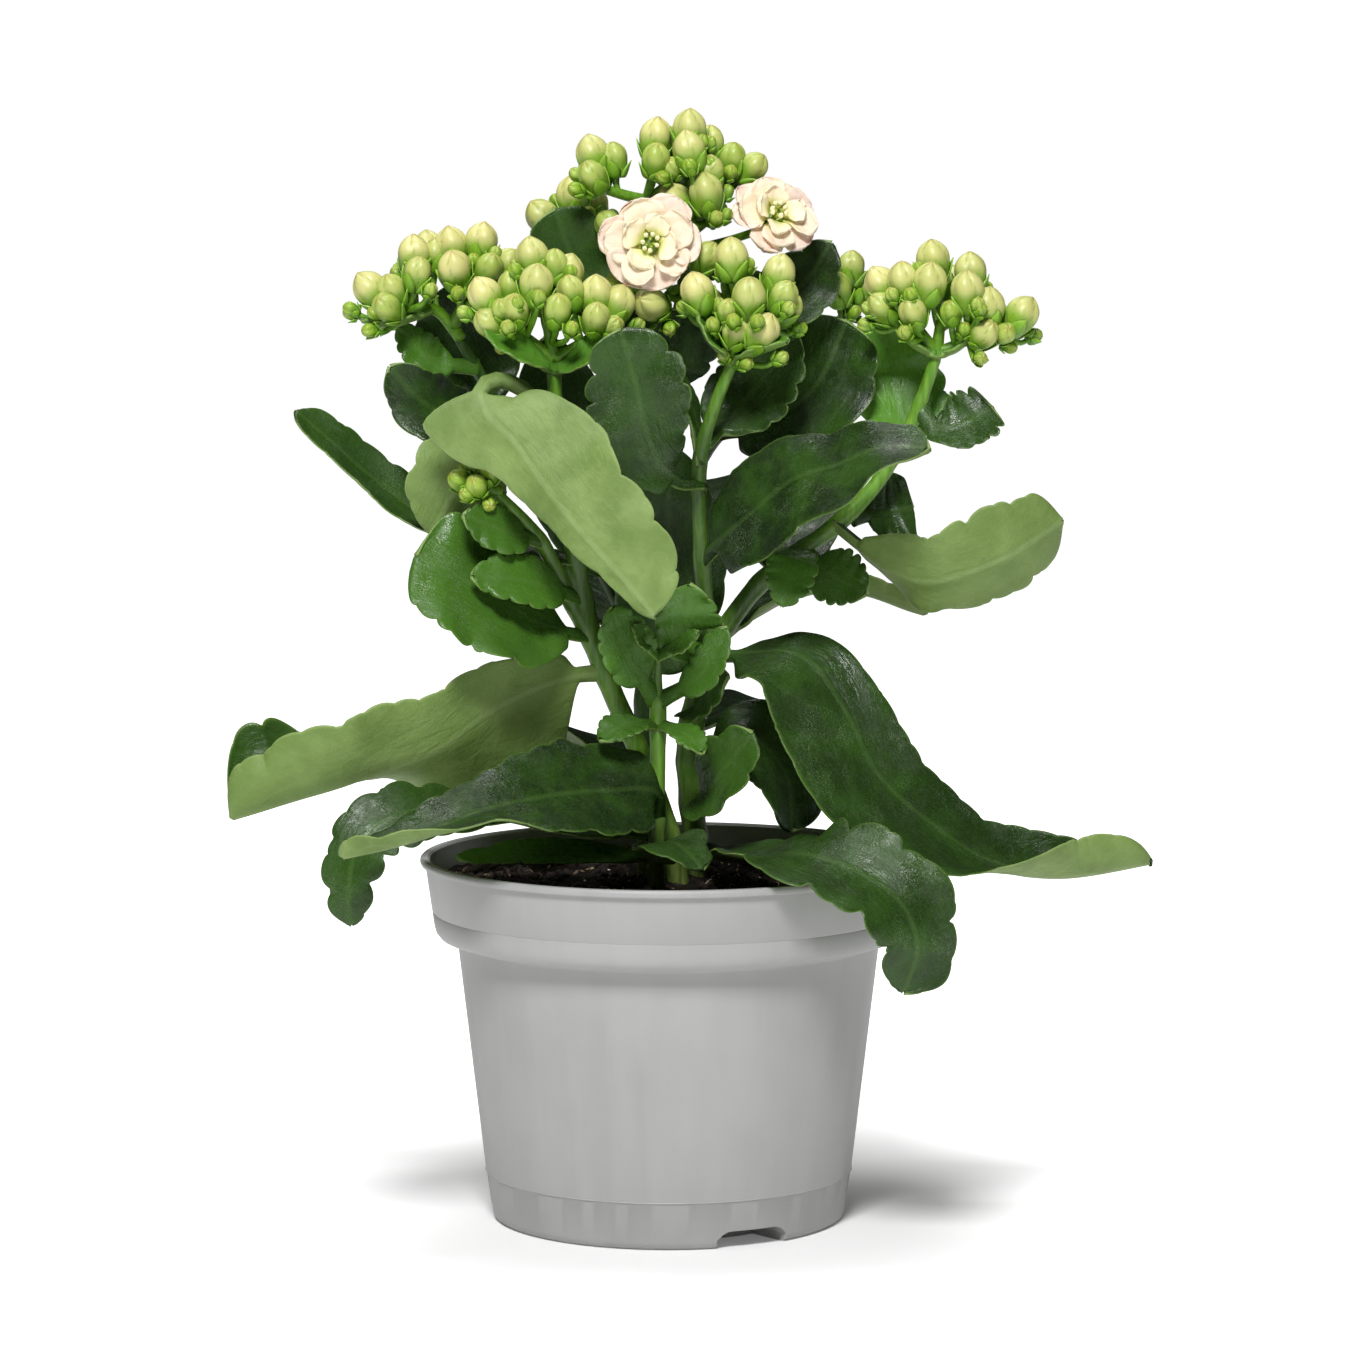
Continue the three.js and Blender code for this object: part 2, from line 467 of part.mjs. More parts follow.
// The petals of a bloom, layer by layer: how many, their length and half width as a share of the bloom's
// radius, how far they rise from the bloom's plane in degrees, and the radius of the ring they grow from.
const LAYERS = [
  { petals: 6, length: 0.84, half: 0.38, rise: 5, ring: 2.5, lift: -0.4 },
  { petals: 5, length: 0.64, half: 0.28, rise: 26, ring: 2.3, lift: 0.6 },
  { petals: 3, length: 0.42, half: 0.24, rise: 55, ring: 2.0, lift: 1.1 },
];

// ---- solids ----
const rad = THREE.MathUtils.degToRad;
const vec = (p) => new THREE.Vector3(...p);
const UP = new THREE.Vector3(0, 0, 1);

function toSolid(geometry) {
  const bare = geometry.clone();
  bare.deleteAttribute("normal");
  bare.deleteAttribute("uv");
  const merged = mergeVertices(bare, 1e-4);
  return new wasm.Manifold(
    new wasm.Mesh({
      numProp: 3,
      vertProperties: merged.attributes.position.array,
      triVerts: new Uint32Array(merged.index.array),
    }),
  );
}

function toGeometry(solid) {
  const mesh = solid.getMesh();
  const geometry = new THREE.BufferGeometry();
  geometry.setAttribute("position", new THREE.BufferAttribute(Float32Array.from(mesh.vertProperties), 3));
  geometry.setIndex(new THREE.BufferAttribute(Uint32Array.from(mesh.triVerts), 1));
  return geometry;
}

const join = (solids) => solids.reduce((whole, next) => whole.add(next));

// The largest body of a solid. What a cut leaves besides it is a loose scrap.
const mainBody = (solid) => solid.decompose().reduce((a, b) => (a.volume() > b.volume() ? a : b));

function meshGeometry(points, index) {
  const geometry = new THREE.BufferGeometry();
  const places = points.flatMap((p) => [p.x, p.y, p.z]);
  geometry.setAttribute("position", new THREE.Float32BufferAttribute(places, 3));
  geometry.setIndex(index);
  return geometry;
}

// A value or a vector read along a short list of evenly spaced ones, for s from 0 to 1.
function along(list, s) {
  if (list.length === 1) return list[0];
  const place = THREE.MathUtils.clamp(s, 0, 1) * (list.length - 1);
  const k = Math.min(Math.floor(place), list.length - 2);
  const mix = (a, b) => a + (b - a) * (place - k);
  return Array.isArray(list[k]) ? list[k].map((a, i) => mix(a, list[k + 1][i])) : mix(list[k], list[k + 1]);
}

const curveOf = (points) => new THREE.CatmullRomCurve3(points.map(vec), false, "centripetal");

// A closed skin over rings of points that run anticlockwise as seen from the last ring. A ring of one
// point closes the skin to a tip.
function skin(rings) {
  const index = [];
  const starts = [];
  rings.reduce((sum, ring) => (starts.push(sum), sum + ring.length), 0);
  for (let r = 0; r + 1 < rings.length; r++) {
    const count = Math.max(rings[r].length, rings[r + 1].length);
    const at = (ring, k) => starts[ring] + (k % rings[ring].length);
    for (let k = 0; k < count; k++) {
      if (rings[r].length > 1) index.push(at(r, k), at(r, k + 1), at(r + 1, k + 1));
      if (rings[r + 1].length > 1) index.push(at(r, k), at(r + 1, k + 1), at(r + 1, k));
    }
  }
  const last = starts[rings.length - 1];
  for (let k = 1; k + 1 < rings[0].length; k++) index.push(0, k + 1, k);
  for (let k = 1; k + 1 < rings.at(-1).length; k++) index.push(last, last + k, last + k + 1);
  return meshGeometry(rings.flat(), index);
}

function ringAround(centre, a, b, radius, sides) {
  const ring = [];
  for (let k = 0; k < sides; k++) {
    const turn = (2 * Math.PI * k) / sides;
    const side = a.clone().multiplyScalar(radius * Math.cos(turn));
    ring.push(side.addScaledVector(b, radius * Math.sin(turn)).add(centre));
  }
  return ring;
}

// A tube along a curve through the points, its radius read along the list.
function tube(points, radius, sides, step) {
  const curve = curveOf(points);
  const steps = Math.max(1, Math.round(curve.getLength() / step));
  const frames = curve.computeFrenetFrames(steps);
  const rings = [];
  for (let i = 0; i <= steps; i++) {
    const centre = curve.getPointAt(i / steps);
    rings.push(ringAround(centre, frames.normals[i], frames.binormals[i], along(radius, i / steps), sides));
  }
  return skin(rings);
}

// A thin blade between an upper and a lower grid of points, both split into triangles alike. The rows of
// the grids run outwards, and each row from left to right.
function slab(top, bottom, columns) {
  const rows = top.length / columns;
  const under = top.length;
  const index = [];
  const quad = (a, b, c, d) => index.push(a, b, c, a, c, d);
  for (let row = 0; row + 1 < rows; row++) {
    const start = row * columns;
    const end = start + columns - 1;
    for (let k = start; k < end; k++) {
      quad(k, k + 1, k + columns + 1, k + columns);
      index.push(under + k, under + k + columns + 1, under + k + 1);
      index.push(under + k, under + k + columns, under + k + columns + 1);
    }
    quad(start, start + columns, under + start + columns, under + start);
    quad(end, under + end, under + end + columns, end + columns);
  }
  const last = (rows - 1) * columns;
  for (let k = 0; k + 1 < columns; k++) {
    quad(k, under + k, under + k + 1, k + 1);
    quad(last + k, last + k + 1, under + last + k + 1, under + last + k);
  }
  return toSolid(meshGeometry([...top, ...bottom], index));
}

// ---- leaves ----
// The half width of a blade at t, from 0 at its base to 1 at its tip.
const oval = (t) => Math.sin(Math.PI * t ** LEAF.broad) ** 0.48;
const halfAt = (half, t) => (Array.isArray(half) ? along(half, t) : half * oval(t));

// The cross-sections of a leaf from root to tip: the share s of its length, the place t on its blade and
// how far its edge stands out there. The two at the ends of the leaf stalk have no t.
function stations(notches, depth, petiole) {
  const bent = petiole > LEAF.longPetiole ? [{ s: petiole / 3 }, { s: (2 * petiole) / 3 }] : [];
  const list = [{ s: 0 }, ...bent, { s: petiole }];
  const add = (t, scale) => list.push({ s: petiole + (1 - petiole) * t, t, scale });
  let before = LEAF.bladeStart;
  add(before, 1);
  for (const notch of notches) {
    add((before + notch) / 2, 1 + depth / 2);
    add(notch, 1 - depth);
    before = notch;
  }
  add((before + LEAF.tip) / 2, 1 + depth / 2);
  add(LEAF.tip, 1);
  return list;
}

// Where a leaf's midrib leaves the stem it grows on: the share of its length at which the flat end of the
// leaf stalk comes clear of every branch.
function rootShare(curve, up, branches) {
  const nearest = (p) => Math.min(...branches.map(({ centre, radius }) => centre.distanceTo(p) - radius));
  for (let s = 0; s < 0.3; s += 0.003) {
    const out = curve.getTangentAt(s);
    const left = vec(along(up, s)).cross(out).normalize();
    const face = out.clone().cross(left);
    const corners = [[1, 1], [1, -1], [-1, 1], [-1, -1], [0, 0]].map(([a, b]) =>
      curve
        .getPointAt(s)
        .addScaledVector(left, a * LEAF.petioleHalf)
        .addScaledVector(face, (b * LEAF.petiole) / 2),
    );
    if (Math.min(...corners.map(nearest)) > GAP) return s;
  }
  return 0.3;
}

// A fleshy leaf: one thin blade whose upper and lower sides are split into triangles alike. With branches
// given, it starts clear of them.
function leaf(spec, branches) {
  const { rib, up, half, notches, depth = LEAF.notch, fold, wave = 0, large = false, petiole = 0.07 } = spec;
  const curve = curveOf(rib);
  const root = branches ? rootShare(curve, up, branches) : 0;
  const reach = large ? 2 : 1; // columns of the blade to each side of the rib
  const columns = 2 * reach + 1;
  const top = [];
  const bottom = [];
  stations(notches, depth, petiole).forEach(({ s, t, scale }, row) => {
    const place = root + (1 - root) * s;
    const blade = t !== undefined;
    const centre = curve.getPointAt(place);
    const out = curve.getTangentAt(place);
    const left = vec(along(up, place)).cross(out).normalize();
    const face = out.clone().cross(left);
    for (let column = -reach; column <= reach; column++) {
      const q = -column / reach; // 1 at the left edge, -1 at the right one
      const plain = blade ? halfAt(half[q > 0 ? 0 : 1], t) * scale : 0;
      const wide = Math.max(LEAF.petioleHalf, plain);
      const bend = blade ? rad(along([fold].flat(), t) * (0.6 + 0.8 * Math.abs(q))) : 0;
      const [rise, level] = [Math.sin(bend), Math.cos(bend)];
      const normal = face.clone().multiplyScalar(level).addScaledVector(left, -Math.sign(q) * rise);
      const lift = Math.abs(q) * wide * rise + (blade ? wave * q * q * (row % 2 ? 1 : -1) : 0);
      const point = centre.clone().addScaledVector(left, q * wide * level).addScaledVector(face, lift);
      const thick = blade ? THREE.MathUtils.lerp(LEAF.rib, LEAF.edge, Math.abs(q)) : LEAF.petiole;
      top.push(point.clone().addScaledVector(normal, thick / 2));
      bottom.push(point.clone().addScaledVector(normal, -thick / 2));
    }
  });
  return slab(top, bottom, columns);
}

// ---- buds and blooms ----
// An egg-shaped bud and its flower stalk, which starts at root, in one skin.
function budOn(root, [x, y, z, size]) {
  const [radius, length] = BUD[size];
  const middle = new THREE.Vector3(x, y, z);
  const axis = middle.clone().sub(root).normalize().addScaledVector(UP, 0.5).normalize();
  const base = middle.clone().addScaledVector(axis, -length / 2);
  const side = new THREE.Vector3(1, 0.3, 0).cross(axis).normalize();
  const other = axis.clone().cross(side);
  const shape = size === "L" ? BUD.full : BUD.slim;
  const rings = [ringAround(root, side, other, PEDICEL, BUD.sides)];
  for (const [s, share] of shape) {
    const centre = base.clone().addScaledVector(axis, s * length);
    rings.push(ringAround(centre, side, other, share * radius, BUD.sides));
  }
  rings.push([base.clone().addScaledVector(axis, length)]);
  return toSolid(skin(rings));
}

function head({ stalks, buds, bracts }) {
  const carriers = stalks.map(curveOf).flatMap((curve) => curve.getSpacedPoints(6).slice(2));
  const parts = stalks.map((points) => toSolid(tube(points, [1.6, 1.2], 4, 11)));
  for (const bud of buds) {
    const foot = new THREE.Vector3(bud[0], bud[1], bud[2] - BUD[bud[3]][1]);
    parts.push(budOn(carriers.reduce((a, b) => (a.distanceTo(foot) < b.distanceTo(foot) ? a : b)), bud));
  }
  for (const bract of bracts) parts.push(leaf({ fold: 20, ...bract, petiole: 0.1 }));
  return mainBody(join(parts));
}

// A petal as a thin spoon-shaped blade from the ring out.
function petal(centre, face, side, layer, radius) {
  const tall = rad(layer.rise);
  const out = side.clone().multiplyScalar(Math.cos(tall)).addScaledVector(face, Math.sin(tall));
  const across = face.clone().cross(side);
  const normal = out.clone().cross(across);
  const start = centre.clone().addScaledVector(side, layer.ring).addScaledVector(face, layer.lift);
  const rows = [[0, 0.26, 0], [0.6, 1, 0], [1, 0.6, -0.08]];
  const top = [];
  const bottom = [];
  for (const [s, wide, lift] of rows)
    for (const q of [1, 0, -1]) {
      const point = start.clone().addScaledVector(out, (s - 0.08 * q * q * s) * layer.length * radius);
      point.addScaledVector(across, q * wide * layer.half * radius);
      point.addScaledVector(normal, (lift + 0.06 * q * q) * radius);
      top.push(point.clone().addScaledVector(normal, BLOOM.petal / 2));
      bottom.push(point.clone().addScaledVector(normal, -BLOOM.petal / 2));
    }
  return slab(top, bottom, 3);
}

// The petals of a bloom, on the small disc they all grow from.
function bloomPetals({ centre, face, radius, turn }) {
  const side = new THREE.Vector3(1, 0, 0.2).cross(face).normalize();
  const other = face.clone().cross(side);
  const disc = [-1, 1].map((lift) =>
    ringAround(centre.clone().addScaledVector(face, lift), side, other, BLOOM.cup, 6),
  );
  const parts = [toSolid(skin(disc))];
  LAYERS.forEach((layer, number) => {
    for (let k = 0; k < layer.petals; k++) {
      const angle = rad(turn + 17 * number + (360 * k) / layer.petals);
      const way = side.clone().multiplyScalar(Math.cos(angle)).addScaledVector(other, Math.sin(angle));
      parts.push(petal(centre, face, way, layer, radius));
    }
  });
  return mainBody(join(parts));
}

// The stamens of a bloom: a ring of spikes on a button.
function bloomHeart({ centre, face }) {
  const side = new THREE.Vector3(1, 0, 0.2).cross(face).normalize();
  const other = face.clone().cross(side);
  const at = (lift) => centre.clone().addScaledVector(face, lift);
  const button = skin([ringAround(at(1.2), side, other, 1.3, 6), ringAround(at(2), side, other, 1.1, 6)]);
  const parts = [toSolid(button)];
  for (const foot of ringAround(at(1.5), side, other, 0.8, 5)) {
    const tip = foot.clone().addScaledVector(foot.clone().sub(at(1.5)), 0.9).addScaledVector(face, 2.6);
    parts.push(toSolid(skin([ringAround(foot, side, other, 0.45, 3), [tip]])));
  }
  return join(parts);
}

// The flower stalk of a bloom and the green cup that holds its petals.
function bloomStalk({ stalk, centre, face }) {
  const side = new THREE.Vector3(1, 0, 0.2).cross(face).normalize();
  const other = face.clone().cross(side);
  const at = (lift, radius) => ringAround(centre.clone().addScaledVector(face, lift), side, other, radius, 7);
  const cup = skin([at(-1 - GAP - 5, 0.9), at(-1 - GAP - 3, 2.1), at(-1 - GAP, BLOOM.cup)]);
  const end = centre.clone().addScaledVector(face, -5);
  return toSolid(tube([...stalk.slice(0, -1), end.toArray()], [BLOOM.pedicel], 5, 5)).add(toSolid(cup));
}

// ---- pot and soil ----
function turned(profile, sides) {
  const points = profile.map(([r, z]) => new THREE.Vector2(r, z));
  return toSolid(new THREE.LatheGeometry(points, sides).rotateX(Math.PI / 2));
}

// A block between two radii and two heights, centred on an angle.
function sector(inner, outer, low, high, angle, arc) {
  const shape = new THREE.Shape();
  shape.absarc(0, 0, outer, rad(angle - arc / 2), rad(angle + arc / 2), false);
  shape.absarc(0, 0, inner, rad(angle + arc / 2), rad(angle - arc / 2), true);
  const options = { depth: high - low, bevelEnabled: false, curveSegments: 5 };
  return toSolid(new THREE.ExtrudeGeometry(shape, options).translate(0, 0, low));
}

const pockets = Array.from({ length: DRAIN.count }, (_, k) => DRAIN.firstAngle + (360 * k) / DRAIN.count);
const pocketTop = DRAIN.height + DRAIN.skin;

function potBody() {
  const { rim, height, lip, collarTop, collarFoot, collarZ, neck, neckZ, bandTop, bandZ, foot, wall } = POT;
  const floor = 1.4;
  const shell = turned(
    [
      [0, 0], [foot - 0.8, 0], [foot, 0.8], [bandTop, bandZ], [neck, neckZ], [collarFoot, collarZ],
      [collarTop, height - lip], [rim, height - lip + 0.2], [rim, height - 0.4], [rim - 0.5, height],
      [collarTop - wall, height], [collarFoot - wall, collarZ + 0.6], [neck - wall, neckZ - 0.6],
      [foot - wall, floor], [0, floor],
    ],
    POT.sides,
  );
  const insideAt = foot - wall + 0.5;
  const raised = pockets.map((angle) =>
    sector(DRAIN.inner - DRAIN.skin, insideAt, 0.7, pocketTop, angle, DRAIN.arc + 3),
  );
  const cuts = pockets.map((angle) => {
    const hole = new THREE.CylinderGeometry(DRAIN.hole, DRAIN.hole, 8, 10).rotateX(Math.PI / 2);
    const middle = (DRAIN.inner + foot) / 2;
    hole.translate(middle * Math.cos(rad(angle)), middle * Math.sin(rad(angle)), 5);
    return sector(DRAIN.inner, foot + 4, -1, DRAIN.height, angle, DRAIN.arc).add(toSolid(hole));
  });
  return shell.add(join(raised)).subtract(join(cuts));
}

function soilBody(stems) {
  const { collarFoot, collarZ, neck, neckZ, foot, wall, collarTop, height, lip } = POT;
  const random = seeded(7);
  const skinGap = wall + GAP;
  const collarAt = (z) => collarFoot + ((collarTop - collarFoot) * (z - collarZ)) / (height - lip - collarZ);
  const circle = (radius, z, bump = 0) => {
    const ring = ringAround(new THREE.Vector3(0, 0, z), vec([1, 0, 0]), vec([0, 1, 0]), radius, SOIL.sides);
    return ring.map((p) => p.setZ(p.z + bump * (2 * random() - 1)));
  };
  const slack = skinGap + 0.3; // the pot's flat sides come in a little between their corners
  const rings = [
    circle(foot - slack - 0.2, 1.4 + GAP),
    circle(neck - slack - 0.2, neckZ - 0.1),
    circle(collarFoot - slack - 0.2, collarZ + 1.1),
    circle(collarAt(SOIL.top) - slack - 0.3, SOIL.top - 1.5, 0.4),
  ];
  for (const share of [0.75, 0.4]) rings.push(circle(share * (collarTop - skinGap), SOIL.top, SOIL.bump));
  rings.push([new THREE.Vector3(0, 0, SOIL.top)]);
  const around = pockets.map((angle) =>
    sector(DRAIN.inner - DRAIN.skin - GAP, foot + 4, 0, pocketTop + GAP, angle, DRAIN.arc + 3 + 1.2),
  );
  return toSolid(skin(rings)).subtract(join(around)).subtract(stems);
}

// Random numbers from 0 to 1 that are the same on each run.
function seeded(seed) {
  let state = seed;
  return () => {
    state = (state * 1103515245 + 12345) % 2147483648;
    return state / 2147483648;
  };
}

// ---- the whole plant ----
const plant = new THREE.Group();

function place(name, solid, finish) {
  const mesh = new THREE.Mesh(toGeometry(solid), new THREE.MeshStandardMaterial({ metalness: 0, ...finish }));
  mesh.name = name;
  plant.add(mesh);
}

const cutting = (branches, extra) =>
  join(
    branches.map(({ axis, radius }) => {
      const start = [axis[0][0], axis[0][1], axis[0][2] - extra];
      const wider = radius.map((r) => r + extra);
      return toSolid(tube([start, ...axis.slice(1)], wider, STEM.sides, STEM.step));
    }),
  );
const clearOf = {};
const branchPoints = {};
for (const name in STEMS) {
  clearOf[name] = cutting(STEMS[name], GAP);
  branchPoints[name] = STEMS[name].flatMap(({ axis, radius }) =>
    curveOf(axis).getSpacedPoints(120).map((centre, k) => ({ centre, radius: along(radius, k / 120) })),
  );
}

place("pot", potBody(), FINISH.pot);
place("soil", soilBody(join(Object.values(clearOf))), FINISH.soil);
for (const name in STEMS) {
  const leaflets = (LEAFLETS[name] ?? []).map((leaflet) => leaf({ fold: 8, ...leaflet, petiole: 0.12 }));
  place(`stem_${name}`, mainBody(join([cutting(STEMS[name], 0), ...leaflets])), FINISH.stem);
}
for (const name in LEAVES) {
  const { on } = LEAVES[name];
  place(`leaf_${name}`, leaf(LEAVES[name], branchPoints[on]), FINISH.leaf);
}
for (const name in HEADS) {
  const { on } = HEADS[name];
  place(`buds_${name}`, mainBody(head(HEADS[name]).subtract(clearOf[on])), FINISH.bud);
}
for (const name in BLOOMS) {
  const { stalk, face, radius, turn } = BLOOMS[name];
  const bloom = { stalk, radius, turn, face: vec(face).normalize(), centre: vec(stalk.at(-1)) };
  bloom.centre.addScaledVector(bloom.face, 3);
  place(`bloom_${name}_stalk`, mainBody(bloomStalk(bloom).subtract(clearOf.back)), FINISH.stem);
  place(`bloom_${name}_petals`, bloomPetals(bloom), FINISH.petal);
  place(`bloom_${name}_heart`, bloomHeart(bloom), FINISH.heart);
}

export default plant;
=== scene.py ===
# A potted kalanchoe in fine form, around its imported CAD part. The scene is in metres, +Z up, with the front
# of the plant towards -Y. The plant's own tables and the builders below them are in millimetres, the unit
# they were measured in, and MM turns them into metres where a mesh is made.
import math

import bpy
import numpy as np
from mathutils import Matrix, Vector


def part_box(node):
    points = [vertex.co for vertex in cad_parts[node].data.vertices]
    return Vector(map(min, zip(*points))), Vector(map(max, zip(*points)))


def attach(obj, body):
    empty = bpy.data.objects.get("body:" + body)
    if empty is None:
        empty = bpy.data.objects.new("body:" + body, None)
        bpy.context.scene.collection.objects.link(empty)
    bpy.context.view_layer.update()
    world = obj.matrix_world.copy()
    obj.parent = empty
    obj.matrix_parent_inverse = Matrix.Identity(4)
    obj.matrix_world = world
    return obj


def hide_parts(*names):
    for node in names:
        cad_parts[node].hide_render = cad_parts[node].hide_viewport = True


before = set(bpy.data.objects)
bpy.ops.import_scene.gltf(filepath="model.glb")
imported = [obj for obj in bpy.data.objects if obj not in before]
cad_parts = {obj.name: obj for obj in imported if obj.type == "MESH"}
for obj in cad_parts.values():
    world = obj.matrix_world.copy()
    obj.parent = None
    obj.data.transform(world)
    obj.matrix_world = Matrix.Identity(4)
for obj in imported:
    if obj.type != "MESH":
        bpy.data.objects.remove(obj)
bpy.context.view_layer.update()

MM = 0.001
RIGHT, BACK, UP = np.eye(3)

# ---- the camera of the photograph ----
IMAGE = 1366  # pixels to a side
FOCAL = 5122  # focal length in pixels
SENSOR = 36.0
CAMERA_AT = (3.5, -1226.0, 262.5)
CAMERA_PITCH = 6.18  # degrees down

# ---- driving sizes ----
# A leaf: its thickness at the rib, at the edge and in its stalk, the half width of the stalk and of the
# stalk's foot, an exponent that puts the widest place of a plain oval nearer to its root (below 1), and
# where on the blade the tip begins.
LEAF = {"rib": 1.7, "edge": 0.8, "petiole": 2.6, "petiole_half": 1.8, "foot_half": 2.4, "broad": 0.85,
        "blunt": 0.93}
# What a leaf has where its own entry says nothing else: the share of it that is stalk, the places of its
# notches along the blade and their depth by the half width, how far both halves rise in degrees, how far its
# edge waves, how far from the stem's axis its stalk comes out, how young and bright it is, how rumpled, and
# the height of the small teeth on its edge.
USUAL = {"petiole": 0.07, "notches": [0.7], "depth": 0.1, "fold": 8, "wave": 0, "clear": 4.0, "youth": 0.0,
         "rumple": 1.0, "teeth": 0.6}
SERRATED = {"notches": [0.3, 0.5, 0.68, 0.84], "teeth": 0.0}
LEAFLET = {**SERRATED, "petiole": 0.12, "depth": 0.14}
BRACT = {**SERRATED, "petiole": 0.1, "depth": 0.08, "fold": 20, "clear": 1.0}
BUD = {"L": (3.8, 10.8), "M": (3.2, 8.8), "S": (2.4, 6.2), "T": (1.6, 4.1)}  # radius and length of each size
PEDICEL = 0.8  # radius of a bud's stalk
CUP = 3.1  # radius of the green cup under an open bloom
POT_WALL = 1.2
# The drain pockets: how many, the angle of the first and the arc of each in degrees, the radii they lie
# between, their height, the wall around them and how far the upper corners of their notches are cut back.
DRAIN = {"count": 3, "first": -62, "arc": 25, "inner": 31, "outer": 42.1, "height": 3.6, "skin": 1.2,
         "corner": 2.2}
# The peat: its radius, how far its surface lies under the CAD's top, how far it rises at the pot, and the
# radii within which loose bits and fibres start and fibres end.
PEAT = {"edge": 56.2, "sunk": 1.6, "banked": 1.1, "bits": 55, "fibres": 53, "fibre_ends": 54}
SEEDS = {"leaves": 100, "leaflets": 300, "bracts": 400, "heads": 500, "blooms": 600, "peat": 700}

# ---- the plant, in millimetres, as in the part's source ----
# The stems: for each cutting its branches, as the points of the axis from the lower end up and the radius
# at both ends.
STEMS = {
    "left": [
        {"axis": [[2, -3, 52], [2, -3, 84], [-6, -4, 111], [-13, -5, 127], [-18, -6, 140]],
         "radius": [3, 2.5]},
        {"axis": [[-18, -6, 140], [-22, -9, 160], [-26, -11, 185], [-27, -12, 204]], "radius": [2.4, 1.8]},
        {"axis": [[-18, -6, 140], [-24, -9, 152], [-31, -13, 166], [-40, -17, 176]], "radius": [2.3, 1.5]},
    ],
    "right": [
        {"axis": [[7, 6, 52], [7, 6, 84], [5, 4, 115], [10, 1, 138]], "radius": [3.2, 2.8]},
        {"axis": [[10, 1, 138], [23, -1, 155], [40, -3, 168], [49, -3, 177], [58, -2, 192], [63.5, -2, 207]],
         "radius": [2.5, 1.5]},
        {"axis": [[10, 1, 138], [8, -5, 160], [7.5, -10, 184], [11, -13, 197], [14.5, -14, 206]],
         "radius": [2.3, 1.5]},
    ],
    "back": [
        {"axis": [[-5, 9, 52], [-5, 9, 84], [-6, 13, 120], [-4, 15, 150], [0, 13, 195], [5, 9, 236]],
         "radius": [3, 1.6]},
        {"axis": [[-6, 13, 135], [-20, 18, 162], [-38, 16, 190], [-50, 12, 211]], "radius": [2, 1.4]},
        {"axis": [[-3, 15, 160], [12, 22, 188], [30, 20, 204], [38, 17, 212]], "radius": [1.9, 1.3]},
        {"axis": [[-1, 13, 195], [-12, 17, 215], [-19, 17, 230]], "radius": [1.6, 1.2]},
    ],
    "front": [
        {"axis": [[-3, -13, 52], [-3, -13, 84], [-2.5, -13, 116], [-2.5, -14, 126]], "radius": [2.2, 1.9]},
        {"axis": [[-2.5, -14, 125], [-2.5, -15, 140]], "radius": [1.3, 1]},
    ],
}

